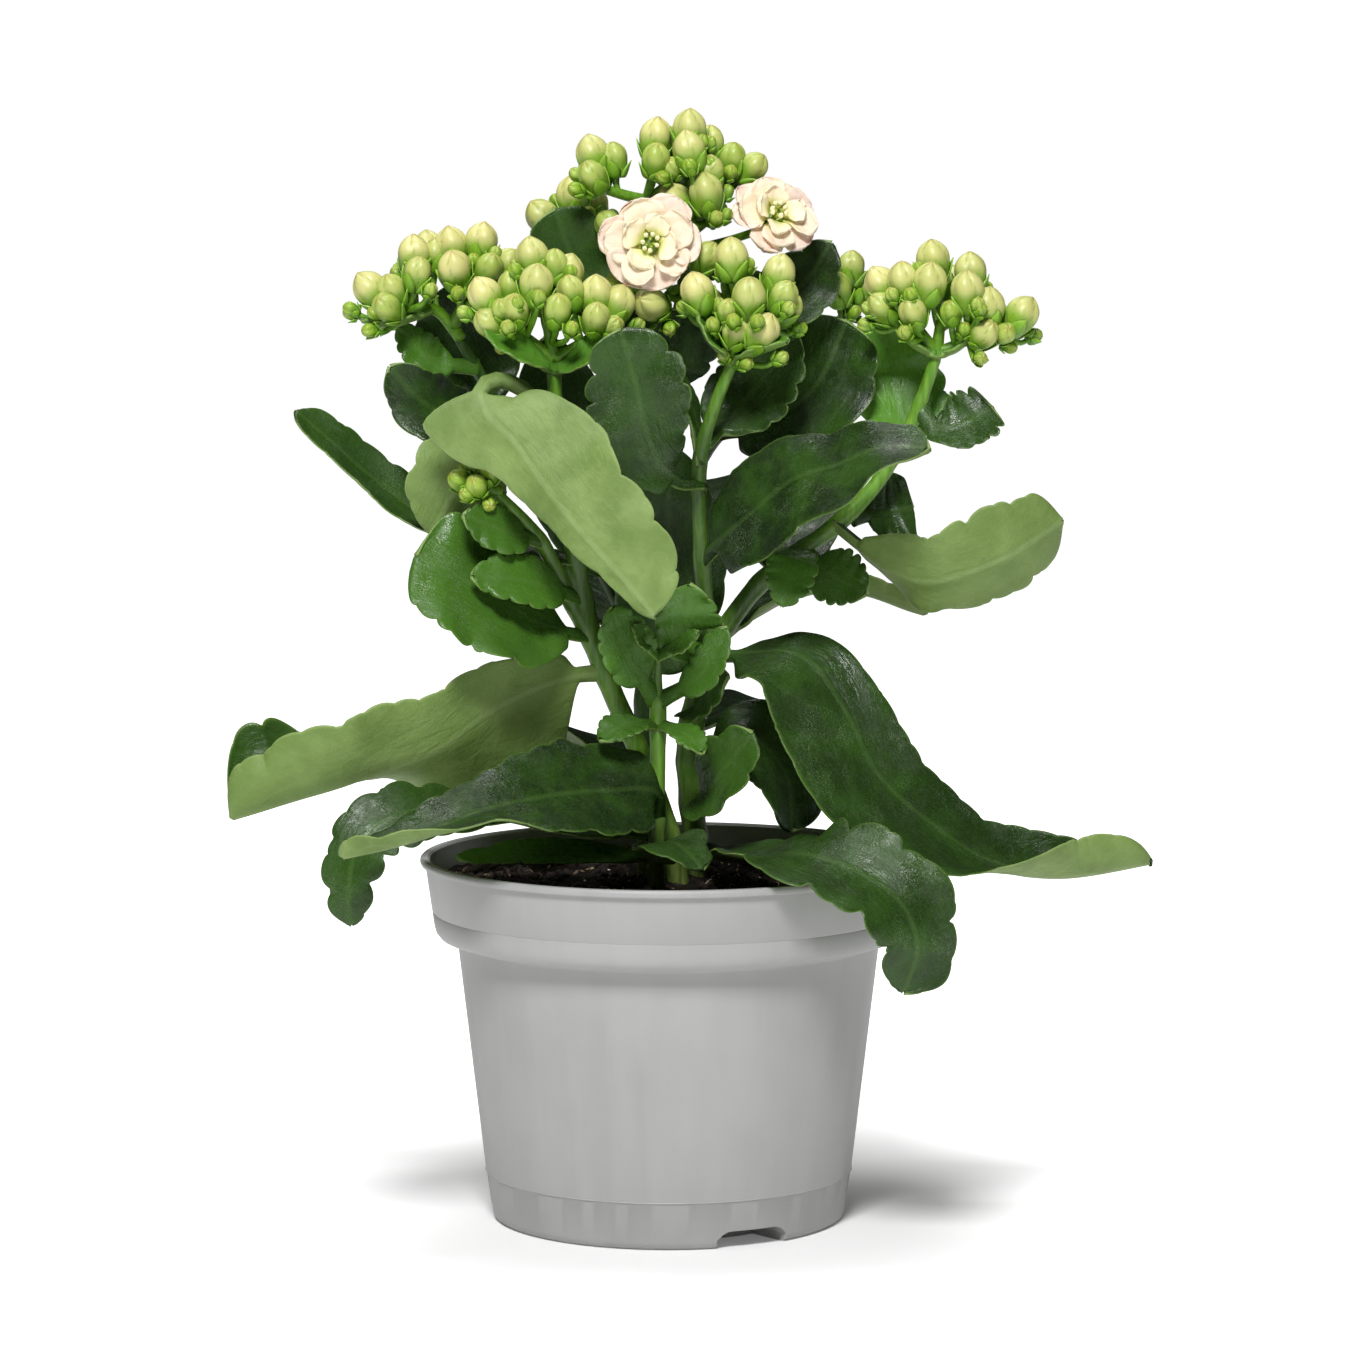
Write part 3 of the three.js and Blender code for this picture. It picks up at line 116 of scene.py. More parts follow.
# The leaves: the cutting each grows on, the points of its midrib from the stem out, the way its upper side
# faces along that line, and its half width along the blade, one for both sides or one each for the left and
# the right of the rib. A single number is the widest of a plain oval. The rest is as in USUAL.
LEAVES = {
    "low_left_long": {
        "on": "left",
        "rib": [[-15, -5.5, 133], [-23.5, -9, 132.5], [-30, -13, 131], [-42.5, -18, 125.5],
                [-54.5, -22, 117], [-67, -24, 112], [-87, -26, 106], [-103, -26, 101]],
        "up": [[0, 0.95, 0.3], [0, 0.95, 0.3], [0, 0.75, 0.65], [0, 0.35, 0.95], [0, 0.12, 1]],
        "left": [4, 8, 11, 13, 15, 17, 16, 15, 10], "right": [16, 24, 24, 22, 20, 20, 23, 25, 16],
        "fold": [2, 2, 3, 6, 10, 18, 36, 52, 54], "petiole": 0.03, "notches": [0.35, 0.65, 0.88],
        "depth": 0.07, "youth": 0.1, "teeth": 0.9,
    },
    "low_right_long": {
        "on": "right",
        "rib": [[9.5, 1.5, 136], [22, -6, 137], [28.5, -12, 138], [34.5, -16, 135.5], [41, -20, 126],
                [49, -23, 110.5], [61, -24, 99.5], [76, -22, 89.5], [93, -19, 86], [115, -15, 89]],
        "up": [[0.2, -0.6, 0.75], [0.35, -0.75, 0.55], [0.3, -0.75, 0.6], [0, -0.35, 0.95], [0, 0.1, 1]],
        "left": [4, 8, 10, 11, 11, 12, 12, 9, 5], "right": [6, 15, 22, 24, 23, 19, 14, 12, 9],
        "fold": [6, 8, 8, 8, 10, 16, 34, 50, 50], "petiole": 0.02, "notches": [0.46, 0.66, 0.86],
        "depth": 0.08, "rumple": 1.1, "teeth": 0.5,
    },
    "rim_right": {
        "on": "right",
        "rib": [[7, 6, 90], [16.5, -16, 90], [27, -38, 93.5], [33, -47, 94], [43, -52, 91.5], [53, -56, 85],
                [57.5, -57, 75.5], [54.5, -56, 64]],
        "up": [[0, -0.4, 0.9], [0.1, -0.55, 0.85], [0.3, -0.75, 0.6], [0.4, -0.9, 0.2]],
        "left": [3, 8, 10, 11, 12, 11, 6], "right": [3, 9, 13, 14, 14, 11, 6], "fold": 12,
        "notches": [0.26, 0.42, 0.56, 0.7, 0.84], "depth": 0.15, "teeth": 1.0,
    },
    "front_left": {
        "on": "front",
        "rib": [[-3, -13, 98], [-3, -18, 105], [-13.5, -28, 107], [-24, -38, 107.5], [-34.5, -45, 106.5],
                [-43.5, -50, 105], [-52.5, -54, 102], [-62, -56, 99], [-75, -57, 96]],
        "up": [[0, -0.85, 0.5], [0, -0.85, 0.55], [0, -0.75, 0.65], [0, -0.2, 1], [0, 0.15, 1]],
        "left": [8, 13, 14, 12, 10, 9, 8, 5], "right": [8, 13, 14, 12, 10, 9, 7, 4],
        "fold": [4, 4, 6, 10, 18, 24, 24], "petiole": 0.05, "notches": [0.2, 0.34, 0.5, 0.88], "depth": 0.1,
        "teeth": 1.0,
    },
    "rim_left": {
        "on": "left",
        "rib": [[0, -3, 93], [-26, -14, 97], [-44.5, -26, 102], [-55, -32, 103], [-64, -36, 102],
                [-70.5, -39, 98], [-73.5, -41, 92], [-74.5, -42, 85], [-74, -42, 77.5]],
        "up": [[0, -0.35, 0.93], [0, -0.35, 0.93], [0, -0.4, 0.9], [-0.25, -0.9, 0.4], [-0.2, -0.95, 0.2]],
        "left": [3, 7, 8, 9, 10, 9, 7, 4], "right": [3, 5, 6, 7, 8, 8, 7, 4], "fold": 6,
        "notches": [0.58, 0.7, 0.8, 0.9], "depth": 0.14, "teeth": 1.1,
    },
    "front_middle": {
        "on": "front", "rib": [[-3, -13, 86], [-2, -23, 93], [2, -31, 94.5], [8, -37, 90]],
        "up": [[0.1, -0.7, 0.7], [0.3, -0.6, 0.75]], "half": [4, 7, 8, 7, 3], "notches": [0.4, 0.75],
        "fold": 6,
    },
    "front_upright": {
        "on": "right", "rib": [[7, 6, 100], [8, -8, 103], [13, -17, 110], [20, -22, 120]],
        "up": [[-0.3, -0.7, 0.6], [-0.4, -0.85, 0.3]], "left": [3, 8, 9, 8, 4], "right": [3, 7, 9, 9, 5],
        "notches": [0.35, 0.6, 0.82], "depth": 0.12, "fold": 14, "youth": 0.3,
    },
    "inner_right": {
        "on": "right", "rib": [[6, 5, 110], [18, 0, 117], [28, -4, 108], [29, -8, 95]],
        "up": [[0, -0.5, 0.85], [0.6, -0.6, 0.5]], "half": 13, "notches": [0.45, 0.75],
    },
    "left_reflexed": {
        "on": "left",
        "rib": [[-28, -13, 192], [-33.5, -15, 200.5], [-40, -19.5, 203.5], [-44, -24.5, 201.5],
                [-42, -28.5, 195.5], [-36, -31, 190], [-28.5, -36, 180], [-19.5, -40, 169],
                [-10, -42, 158.5], [-3, -42, 150]],
        "up": [[-0.4, 0.9, 0.1], [-0.2, 0.95, 0.2], [0, 1, 0.1], [0, 1, 0.2], [0, 1, 0.3]],
        "left": [17, 12, 9, 7, 6, 5, 4, 3, 2.5], "right": [3, 10, 17, 18.5, 17, 16.5, 15.5, 13, 8],
        "fold": 4, "petiole": 0.25, "notches": [0.55, 0.76, 0.92], "depth": 0.06, "teeth": 0.3,
    },
    "left_hanging": {
        "on": "left",
        "rib": [[-26, -11, 186], [-34, -14, 190], [-43, -15, 187], [-50, -14, 178.5], [-56, -13, 167]],
        "up": [[0, 0.6, 0.8], [-0.2, 0.95, 0.2], [-0.2, 0.95, 0.2]], "half": 12, "petiole": 0.36,
        "notches": [0.5, 0.8], "depth": 0.06, "fold": 6,
    },
    "left_far": {
        "on": "left",
        "rib": [[-22, -9, 160], [-45, -2, 164.5], [-59.5, 2, 170], [-68, 3, 176], [-76.5, 2, 183],
                [-89, -2, 195]], "up": [[0.2, -0.5, 0.85], [0.3, -0.6, 0.75], [0.4, -0.65, 0.65]],
        "left": [3, 8, 10, 10, 8, 4], "right": [3, 5, 7, 7, 6, 4], "notches": [0.42, 0.64, 0.84],
        "depth": 0.08, "fold": 18,
    },
    "left_glossy": {
        "on": "left",
        "rib": [[-18.5, -6, 141.5], [-26, -12, 143.5], [-35, -18, 148.5], [-46.5, -23, 155.5],
                [-59, -26, 162.5]], "up": [[0.2, -0.6, 0.8], [0.4, -0.75, 0.55]],
        "left": [3, 14, 19, 19, 17, 11], "right": [3, 12, 16, 17, 15, 11], "notches": [0.4, 0.6, 0.8],
        "depth": 0.09, "fold": 4, "wave": 0.5, "youth": 0.35, "rumple": 1.5, "teeth": 1.3,
    },
    "right_dark": {
        "on": "right",
        "rib": [[8, -5, 160], [19, -17, 171], [29.5, -24, 180], [39.5, -29, 184], [49.5, -33, 188],
                [60.5, -35, 188]],
        "up": [[-0.3, -0.85, 0.4], [-0.3, -0.8, 0.5], [-0.2, -0.7, 0.65], [-0.1, -0.5, 0.85]],
        "left": [8, 12, 12, 11, 10, 8, 5], "right": [8, 12, 15, 17, 17, 13, 7], "fold": [2, 4, 8, 12, 16],
        "petiole": 0.03, "notches": [0.3, 0.5, 0.8], "depth": 0.05, "teeth": 0.4,
    },
    "right_pale": {
        "on": "right",
        "rib": [[40, -3, 168], [48, -10, 162], [54, -15, 158.5], [61.5, -19, 156.5], [77, -20, 161],
                [93, -15, 170]], "up": [[0, 0.5, 0.85], [-0.1, 0.9, 0.4], [-0.2, 0.9, 0.4]],
        "left": [3, 8, 10, 12, 12, 8], "right": [3, 10, 11, 13, 12, 8], "notches": [0.42, 0.62, 0.82],
        "depth": 0.09,
    },
    "right_wrinkled": {
        "on": "right", "rib": [[44, -3, 170], [48, 0.5, 170.5], [52, 3.5, 170.5], [58.5, 6, 171.5]],
        "up": [[0.5, -0.8, 0.2], [0.2, -0.95, 0.2]], "half": [3, 8, 9.5, 9.5, 6], "notches": [0.4, 0.7],
        "fold": 10, "wave": 0.8, "rumple": 1.6,
    },
    "right_level": {
        "on": "right",
        "rib": [[10, 1, 138], [20, 8, 145.5], [30.5, 16, 150], [41.5, 18, 151.5], [62.5, 16, 145.5]],
        "up": [[0, 0.1, 1]], "left": [3, 8, 10, 10, 8, 5], "right": [3, 8, 10, 10, 9, 5],
        "notches": [0.34, 0.58, 0.8], "fold": 16,
    },
    "right_outer": {
        "on": "right", "rib": [[60, -2, 196], [64, -4, 191.5], [70, -4, 192], [77, -2, 196]],
        "up": [[-0.2, -0.8, 0.5]], "half": [3, 6, 8, 8, 6], "notches": [0.5, 0.68, 0.84], "depth": 0.16,
        "fold": 12,
    },
    "right_bright": {
        "on": "right", "rib": [[55, -2, 187], [57, 4, 190], [55, 10, 202], [51, 12, 218]],
        "up": [[0.1, -0.95, 0.25], [0, -1, 0.1]], "left": [7, 12, 11, 9, 5], "right": [8, 12, 10, 8, 5],
        "notches": [0.3, 0.6, 0.85], "youth": 0.9, "teeth": 1.1,
    },
    "centre_upright": {
        "on": "right",
        "rib": [[7.5, -9, 178], [1, -18, 180], [-4.5, -24, 189.5], [-7.5, -26, 203], [-11, -26, 215.5]],
        "up": [[-0.1, -0.2, 1], [-0.1, -0.95, 0.3], [-0.1, -0.95, 0.2], [-0.1, -0.95, 0.2]],
        "left": [4, 11, 13, 11, 6], "right": [3, 8, 12, 12, 6], "petiole": 0.16,
        "notches": [0.28, 0.46, 0.62, 0.8], "depth": 0.12,
    },
    "centre_edge": {
        "on": "right", "rib": [[8, -10, 183], [5, -9, 197], [-1.5, -8, 210]], "up": [[0.9, -0.35, 0.1]],
        "half": 4, "notches": [0.3, 0.55, 0.8],
    },
    "centre_back": {
        "on": "back", "rib": [[0, 13, 195], [0, 5.5, 206], [3, 3.5, 219]], "up": [[0, -0.9, 0.3]],
        "half": [2, 7, 11, 11, 7], "notches": [0.5, 0.8],
    },
    "centre_right": {
        "on": "right", "rib": [[8.5, -11, 188], [14, -4, 193], [23, -2, 203], [30, -4, 214]],
        "up": [[-0.3, -0.8, 0.4]], "left": 11, "right": 12, "notches": [0.35, 0.52, 0.7, 0.86], "fold": 10,
    },
    "upper_right_round": {
        "on": "back", "rib": [[13, 22, 189], [22, 12, 191], [35, 8, 200], [43, 8, 216]],
        "up": [[-0.3, -0.85, 0.4], [-0.3, -0.85, 0.3]], "left": [4, 13, 16, 15, 8],
        "right": [4, 12, 15, 14, 8], "notches": [0.5, 0.76], "depth": 0.06, "fold": 6,
    },
    "upper_right_high": {
        "on": "back", "rib": [[3, 11, 218], [16, 10, 218], [30, 7, 223], [39, 5, 235]],
        "up": [[0.1, -0.75, 0.6]], "left": 10, "right": 11, "notches": [0.4, 0.66, 0.86],
    },
    "upper_left_round": {
        "on": "back", "rib": [[1, 13, 206], [-10, 8, 218], [-22, 6, 230], [-27, 5, 243]],
        "up": [[0.1, -0.9, 0.3]], "half": [3, 7, 9, 10, 7], "notches": [0.8], "depth": 0.03, "fold": 5,
    },
    "left_shoulder": {
        "on": "back", "rib": [[-39, 17, 192], [-45, 23, 199], [-50, 24, 210], [-51, 23, 225]],
        "up": [[0, -0.9, 0.3]], "half": 13, "depth": 0.04, "fold": 6,
    },
    "left_silver": {
        "on": "back", "rib": [[-32, 17, 181], [-47, 3, 190], [-58, -4, 197], [-66, -7, 206]],
        "up": [[-0.3, -0.6, 0.7], [-0.4, -0.7, 0.5]], "half": 10, "notches": [0.55, 0.8], "depth": 0.06,
        "fold": 6,
    },
    "centre_low": {
        "on": "back", "rib": [[-6, 13, 124], [-2, 10, 136], [0, 8, 150], [0, 7, 168], [0, 7, 186]],
        "up": [[-0.1, -0.9, 0.4], [0, -1, 0.1]], "half": 13.5, "depth": 0.05, "fold": 0,
    },
    "centre_left": {
        "on": "back", "rib": [[-3, 15, 152], [-16, 11, 164], [-24, 9, 184], [-29.5, 9.5, 212]],
        "up": [[0.2, -0.9, 0.4], [0.1, -1, 0.1]], "left": 13, "right": 14, "depth": 0.05, "fold": 6,
    },
    "centre_hollow": {
        "on": "right", "rib": [[22, -1, 154], [27, 8, 160], [29, 14, 172], [27, 16, 188]],
        "up": [[-0.1, -0.9, 0.4], [0, -1, 0.1]], "half": 13, "depth": 0.05, "fold": 6,
    },
    "back_low_left": {
        "on": "back", "rib": [[-5, 10, 104], [-16, 32, 112], [-24, 54, 106], [-28, 76, 92]],
        "up": [[0, 0.2, 1], [0, 0.6, 0.8]], "half": 16,
    },
    "back_low_right": {
        "on": "right", "rib": [[6, 6, 118], [26, 28, 121], [42, 46, 109], [56, 62, 93]],
        "up": [[0, 0.1, 1], [0.4, 0.5, 0.8]], "half": 17,
    },
    "back_middle_left": {
        "on": "back", "rib": [[-6, 14, 138], [-22, 34, 149], [-40, 48, 155], [-58, 58, 152]],
        "up": [[0, 0, 1], [-0.3, 0.2, 0.9]], "half": 15,
    },
    "back_middle": {
        "on": "back", "rib": [[-3, 15, 160], [3, 36, 171], [7, 54, 174], [9, 72, 168]],
        "up": [[0, -0.2, 1], [0, 0.3, 0.95]], "half": 14,
    },
    "back_upper_right": {
        "on": "back", "rib": [[19, 22, 195], [28, 34, 205], [38, 46, 212]], "up": [[-0.3, -0.5, 0.85]],
        "half": 11,
    },
    "back_upper_left": {
        "on": "back", "rib": [[-28, 18, 176], [-36, 34, 188], [-43, 48, 194]], "up": [[0.3, -0.4, 0.85]],
        "half": 11,
    },
}

# Small leaves, fused to the cutting they grow on.
LEAFLETS = {
    "left": [
        {"rib": [[-21, -8, 151], [-33, -22, 156], [-46, -28, 158]], "up": [[0, -0.85, 0.5]], "half": 7},
        {"rib": [[-30, -12, 165], [-39, -22, 168], [-48, -25, 172]], "up": [[0, -0.85, 0.5]], "half": 6},
        {"rib": [[2, -3, 88], [-30, -20, 91], [-50, -25, 91]], "up": [[0, -0.5, 0.85]], "half": 5},
    ],
    "right": [
        {"rib": [[5, 4, 120], [8, -8, 126], [14, -15, 133]], "up": [[0, -0.7, 0.7]], "half": 7},
        {"rib": [[32, -2, 162], [38, -9, 157.5], [47, -12, 152.5]], "up": [[0, -0.95, 0.3]], "half": 7},
        {"rib": [[29, -2, 160], [30, -12, 161], [27, -17, 150]],
         "up": [[0, -0.6, 0.8], [0, -1, 0.1]], "half": 6},
        {"rib": [[9, 0, 140], [5, -13, 143], [5, -18, 155]],
         "up": [[0, -0.8, 0.6], [0, -0.95, 0.3]], "half": 8},
    ],
    "back": [
        {"rib": [[-46, 13, 205], [-57, 9, 207], [-65, 8, 215]], "up": [[0, -0.8, 0.5]], "half": 5},
    ],
    "front": [
        {"rib": [[-3, -14, 127], [-9, -20, 138], [-13, -21, 150]], "up": [[0.3, -0.9, 0.2]], "half": 7},
        {"rib": [[-2, -14, 127], [8, -20, 134], [14, -22, 145]], "up": [[-0.4, -0.8, 0.4]], "half": 5},
        {"rib": [[-3, -13, 121], [-10, -22, 122], [-16, -26, 119]], "up": [[0, -0.5, 0.85]], "half": 5},
        {"rib": [[-2, -13, 121], [4, -22, 120], [8, -26, 116]], "up": [[0.2, -0.6, 0.8]], "half": 4},
        {"rib": [[-2.5, -15, 138], [-6, -20, 142], [-8, -22, 146]], "up": [[0.3, -0.6, 0.7]], "half": 3},
        {"rib": [[-2.5, -15, 138], [3, -20, 141], [7, -21, 144]], "up": [[-0.3, -0.6, 0.7]], "half": 3},
    ],
}

# The flower heads in bud: stalks that fork from the branch end, buds as (x, y, z, size) and the small leaves
# below them.
HEADS = {
    "left_back": {
        "stalks": [[[-50, 12, 212], [-56, 9, 219], [-63, 4, 219]], [[-52, 11, 215], [-48, 8, 223]]],
        "buds": [[-71, 2, 224, "L"], [-66, 0, 224, "M"], [-67, -2, 220, "M"], [-61, 6, 232, "L"],
                 [-60, 0, 228, "M"], [-52, 8, 234, "L"], [-45, 8, 235, "L"], [-56, 8, 232, "M"],
                 [-51, 0, 229, "L"], [-43, 2, 229, "M"], [-39, 6, 230, "M"], [-65, 8, 221, "M"],
                 [-48, 14, 230, "M"], [-58, 15, 233, "L"]],
        "bracts": [{"rib": [[-58, 8, 219], [-66, 2, 216], [-73, 0, 217]], "up": [[0, 0, 1]], "half": 2.5}],
    },
    "left_front": {
        "stalks": [[[-27, -12, 205], [-27, -12, 209]], [[-27, -12, 208], [-37, -14, 216]],
                   [[-27, -12, 208], [-17, -13, 214]], [[-27, -12, 208], [-29, -13, 219]]],
        "buds": [[-32, -14, 232, "L"], [-31, -20, 226, "L"], [-27, -14, 230, "M"], [-24, -12, 228, "L"],
                 [-23, -16, 224, "M"], [-43, -16, 223, "L"], [-37, -14, 225, "M"], [-39, -20, 220, "S"],
                 [-36, -20, 220, "M"], [-42, -18, 217, "M"], [-26, -21, 220, "M"], [-17, -14, 223, "L"],
                 [-12, -13, 221, "L"], [-17, -19, 218, "M"], [-13, -18, 216, "S"], [-34, -6, 228, "L"],
                 [-26, -4, 224, "M"], [-16, -6, 221, "M"]],
        "bracts": [{"rib": [[-27, -12, 206], [-31, -16, 208], [-37, -19, 211], [-43, -20, 216]],
                    "up": [[0.3, -0.6, 0.8]], "half": 6, "fold": 16},
                   {"rib": [[-27, -12, 206], [-23, -16, 207], [-17, -18, 210], [-12, -19, 214]],
                    "up": [[-0.3, -0.6, 0.8]], "half": 5, "fold": 16}],
    },
    "crown": {
        "stalks": [[[5, 9, 237], [4, 8, 246], [4, 5, 251]], [[4, 8, 244], [-8, 5, 246], [-15, 3, 248]],
                   [[5, 9, 240], [9, 3, 241], [10, -2, 240]], [[4, 8, 246], [13, 8, 250]]],
        "buds": [[-3, 4, 260, "L"], [5, 2, 262, "L"], [5, -2, 257, "L"], [10, 6, 259, "M"],
                 [15, 6, 255, "M"], [10, 0, 252, "M"], [20, 6, 253, "M"], [-3, -2, 255, "M"],
                 [1, -1, 253, "S"], [-18, 4, 256, "L"], [-13, 4, 255, "M"], [-18, 0, 251, "M"],
                 [2, 0, 245, "L"], [9, -4, 247, "L"], [0, 12, 259, "M"], [9, 14, 255, "L"],
                 [8, 14, 248, "M"]],
    },
    "centre": {
        "stalks": [[[14.5, -14, 207], [15, -14, 211]], [[15, -14, 210], [10, -15, 217]],
                   [[15, -14, 210], [22, -16, 217]], [[15, -14, 210], [16, -14, 221]]],
        "buds": [[15, -18, 232, "L"], [7, -18, 224, "L"], [19, -22, 223, "L"], [26, -16, 228, "L"],
                 [27, -19, 223, "M"], [14, -22, 220, "S"], [16, -20, 215, "M"], [22, -21, 215, "L"],
                 [28, -14, 220, "M"], [16, -10, 226, "M"], [10, -10, 221, "M"]],
        "bracts": [{"rib": [[15, -14, 208], [19, -18, 209.5], [28, -21, 213]],
                    "up": [[-0.2, -0.3, 1]], "half": 4},
                   {"rib": [[15, -14, 208], [11, -17, 212], [7, -18, 219]],
                    "up": [[0.5, -0.5, 0.7]], "half": 5}],
    },
    "right": {
        "stalks": [[[63.5, -2, 208], [64, -2, 210]], [[64, -2, 209], [58, -3, 217]],
                   [[64, -2, 209], [65, -2, 217]], [[64, -2, 209], [73, -3, 213]],
                   [[73, -3, 213], [79, -3, 214]]],
        "buds": [[63, -4, 231, "L"], [56, -6, 226, "L"], [51, -2, 225, "L"], [62, -9, 226, "L"],
                 [51, -6, 220, "M"], [58, -9, 219, "M"], [72, -2, 228, "L"], [71, -8, 224, "L"],
                 [67, -8, 219, "S"], [76, -6, 220, "L"], [84, -2, 218, "L"], [80, -7, 214, "S"],
                 [75, -8, 214, "M"], [59, 6, 224, "M"], [68, 7, 225, "L"], [78, 5, 218, "M"]],
        "bracts": [{"rib": [[64, -2, 209], [68, -4, 210], [72, -5, 213]], "up": [[0, -0.3, 1]], "half": 2},
                   {"rib": [[64, -2, 209], [59, -5, 211], [55, -6, 215]],
                    "up": [[0.3, -0.3, 1]], "half": 2}],
    },
    "small_right": {
        "stalks": [[[38, 17, 213], [42, 14, 217]]],
        "buds": [[44, 12, 229, "M"], [41, 10, 224, "M"], [47, 15, 224, "M"]],
    },
    "left_shoot": {
        "stalks": [[[-40, -17, 177], [-43, -19, 178]]],
        "buds": [[-46, -20, 184, "S"], [-49, -22, 180, "S"], [-42, -22, 182, "S"], [-45, -25, 179, "S"]],
    },
    "back_left": {
        "stalks": [[[-19, 17, 231], [-21, 17, 235]]],
        "buds": [[-23, 14, 246, "L"], [-30, 12, 241, "L"], [-18, 18, 244, "M"], [-26, 20, 242, "M"]],
    },
    "middle": {
        "stalks": [[[3, 11, 222], [2, 4, 224], [0, -3, 223]]],
        "buds": [[-4, -10, 221, "L"], [-11, -3, 225, "M"], [9, -9, 232, "M"], [6, -7, 225, "S"],
                 [-14, 4, 239, "M"]],
    },
}

# The open blooms: the stalk from the stem to the cup, the way the bloom faces, the radius of its outer petals
# and how far it is turned, in degrees.
BLOOMS = {
    "front": {"stalk": [[4.5, 9.5, 230], [2, 2, 233], [-4, -10, 235]], "face": [-0.05, -1, 0.12],
              "radius": 10.8, "turn": 12},
    "right": {"stalk": [[5, 9, 233.5], [15, 5, 236], [24, -2, 240]], "face": [0.35, -0.65, 0.5],
              "radius": 10.2, "turn": 40},
}


# ---- curves ----
def unit(v):
    """Vectors scaled to a length of 1."""
    return v / np.maximum(np.linalg.norm(v, axis=-1, keepdims=True), 1e-9)


def smooth(x, low, high):
    """A soft step from 0 at low to 1 at high."""
    t = np.clip((x - low) / (high - low), 0, 1)
    return t * t * (3 - 2 * t)


def lerp(a, b, t):
    return a + (b - a) * t


def bearing(side, other, angle):
    """The direction at an angle from side towards other, or one for each of several angles."""
    return side * np.cos(angle)[..., None] + other * np.sin(angle)[..., None]


def circle(side, other, around):
    """Evenly spaced directions all round, from side towards other."""
    return bearing(side, other, np.linspace(0, 2 * math.pi, around, endpoint=False))


class Curve:
    """A centripetal Catmull-Rom curve through points, read by the share of its length."""

    def __init__(self, points, fine=48):
        p = np.array(points, float)
        ends = np.vstack([2 * p[0] - p[1], p, 2 * p[-1] - p[-2]])
        t = np.linspace(0, 1, fine, endpoint=False)[:, None]
        pieces = []
        for a, b, c, d in zip(ends, ends[1:], ends[2:], ends[3:]):
            before, here, after = (np.linalg.norm(y - x) ** 0.5 for x, y in ((a, b), (b, c), (c, d)))
            start = ((b - a) / before - (c - a) / (before + here) + (c - b) / here) * here
            end = ((c - b) / here - (d - b) / (here + after) + (d - c) / after) * here
            square, cube = 3 * (c - b) - 2 * start - end, 2 * (b - c) + start + end
            pieces.append(b + start * t + square * t**2 + cube * t**3)
        self.points = np.vstack([*pieces, p[-1:]])
        self.run = np.concatenate([[0], np.cumsum(np.linalg.norm(np.diff(self.points, axis=0), axis=1))])
        self.length = self.run[-1]

    def at(self, share):
        along = np.asarray(share, float) * self.length
        return np.stack([np.interp(along, self.run, self.points[:, k]) for k in range(3)], -1)

    def way(self, share, step=0.01):
        share = np.asarray(share, float)
        return unit(self.at(np.minimum(share + step, 1)) - self.at(np.maximum(share - step, 0)))


def read(values, share):
    """A list of vectors or numbers, evenly spaced from 0 to 1, read at each share."""
    values = np.array(values, float)
    knots = np.linspace(0, 1, len(values))
    if len(values) == 1:
        return np.repeat(values, len(share), axis=0)
    if values.ndim == 1:
        return np.interp(share, knots, values)
    return np.stack([np.interp(share, knots, column) for column in values.T], -1)


def averaged(values, reach):
    """Numbers averaged with their neighbours as far as reach, as if both ends went on."""
    window = np.hanning(2 * reach + 3)[1:-1]
    padded = np.concatenate([values[:1].repeat(reach), values, values[-1:].repeat(reach)])
    return np.convolve(padded, window / window.sum(), "valid")


def eased(rows, reach):
    """Rows of directions averaged with their neighbours, so that a turn is spread evenly."""
    return unit(np.stack([averaged(column, reach) for column in rows.T], -1))


def sides_of(way):
    """Two directions square to a line of directions, carried along it without a twist."""
    side = unit(np.cross(way[0], UP if abs(way[0][2]) < 0.9 else RIGHT))
    sides = []
    for direction in way:
        side = unit(side - direction * (side @ direction))
        sides.append(side)
    sides = np.array(sides)
    return sides, np.cross(way, sides)


# ---- pieces ----
class Shape:
    """The points and faces of one piece while it grows, with marks that its material reads."""

    def __init__(self):
        self.points, self.faces, self.marks, self.size = [], [], {}, 0

    def loft(self, rings, **marks):
        """Adds a closed skin over rings (rows, around, 3), anticlockwise as seen from the last one. A mark is
        three values, each a number or an array that fits rows by around."""
        rows, around = rings.shape[:2]
        grid = np.arange(rows * around).reshape(rows, around) + self.size
        after = np.roll(grid, -1, axis=1)
        first = self.size + rows * around
        self.faces += np.stack([grid[:-1], after[:-1], after[1:], grid[1:]], -1).reshape(-1, 4).tolist()
        self.faces += [[first, b, a] for a, b in zip(grid[0].tolist(), after[0].tolist())]
        self.faces += [[first + 1, a, b] for a, b in zip(grid[-1].tolist(), after[-1].tolist())]

        def with_ends(values):
            return np.concatenate([values.reshape(-1, 3), values[:1].mean(1), values[-1:].mean(1)])

        self.points.append(with_ends(rings))
        for name, values in marks.items():
            values = np.stack([np.broadcast_to(value, (rows, around)) for value in values], -1)
            self.marks.setdefault(name, []).append(with_ends(values))
        self.size += rows * around + 2

    def mesh(self, name, sharp=None):
        mesh = bpy.data.meshes.new(name)
        mesh.from_pydata((np.concatenate(self.points) * MM).tolist(), [], self.faces)
        for mark, values in self.marks.items():
            data = mesh.attributes.new(mark, "FLOAT_VECTOR", "POINT").data
            data.foreach_set("vector", np.concatenate(values).astype(np.float32).ravel())
        mesh.shade_smooth()
        if sharp:
            mesh.set_sharp_from_angle(angle=math.radians(sharp))
        return mesh


def shown(name, data):
    """A new object of the scene with a mesh, a light or a camera."""
    obj = bpy.data.objects.new(name, data)
    bpy.context.scene.collection.objects.link(obj)
    return obj


def piece(name, mesh, material, nodes):
    """Shows a mesh in the place of CAD nodes."""
    obj = shown(name, mesh)
    mesh.materials.clear()
    mesh.materials.append(material)
    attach(obj, "root")
    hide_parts(*nodes)


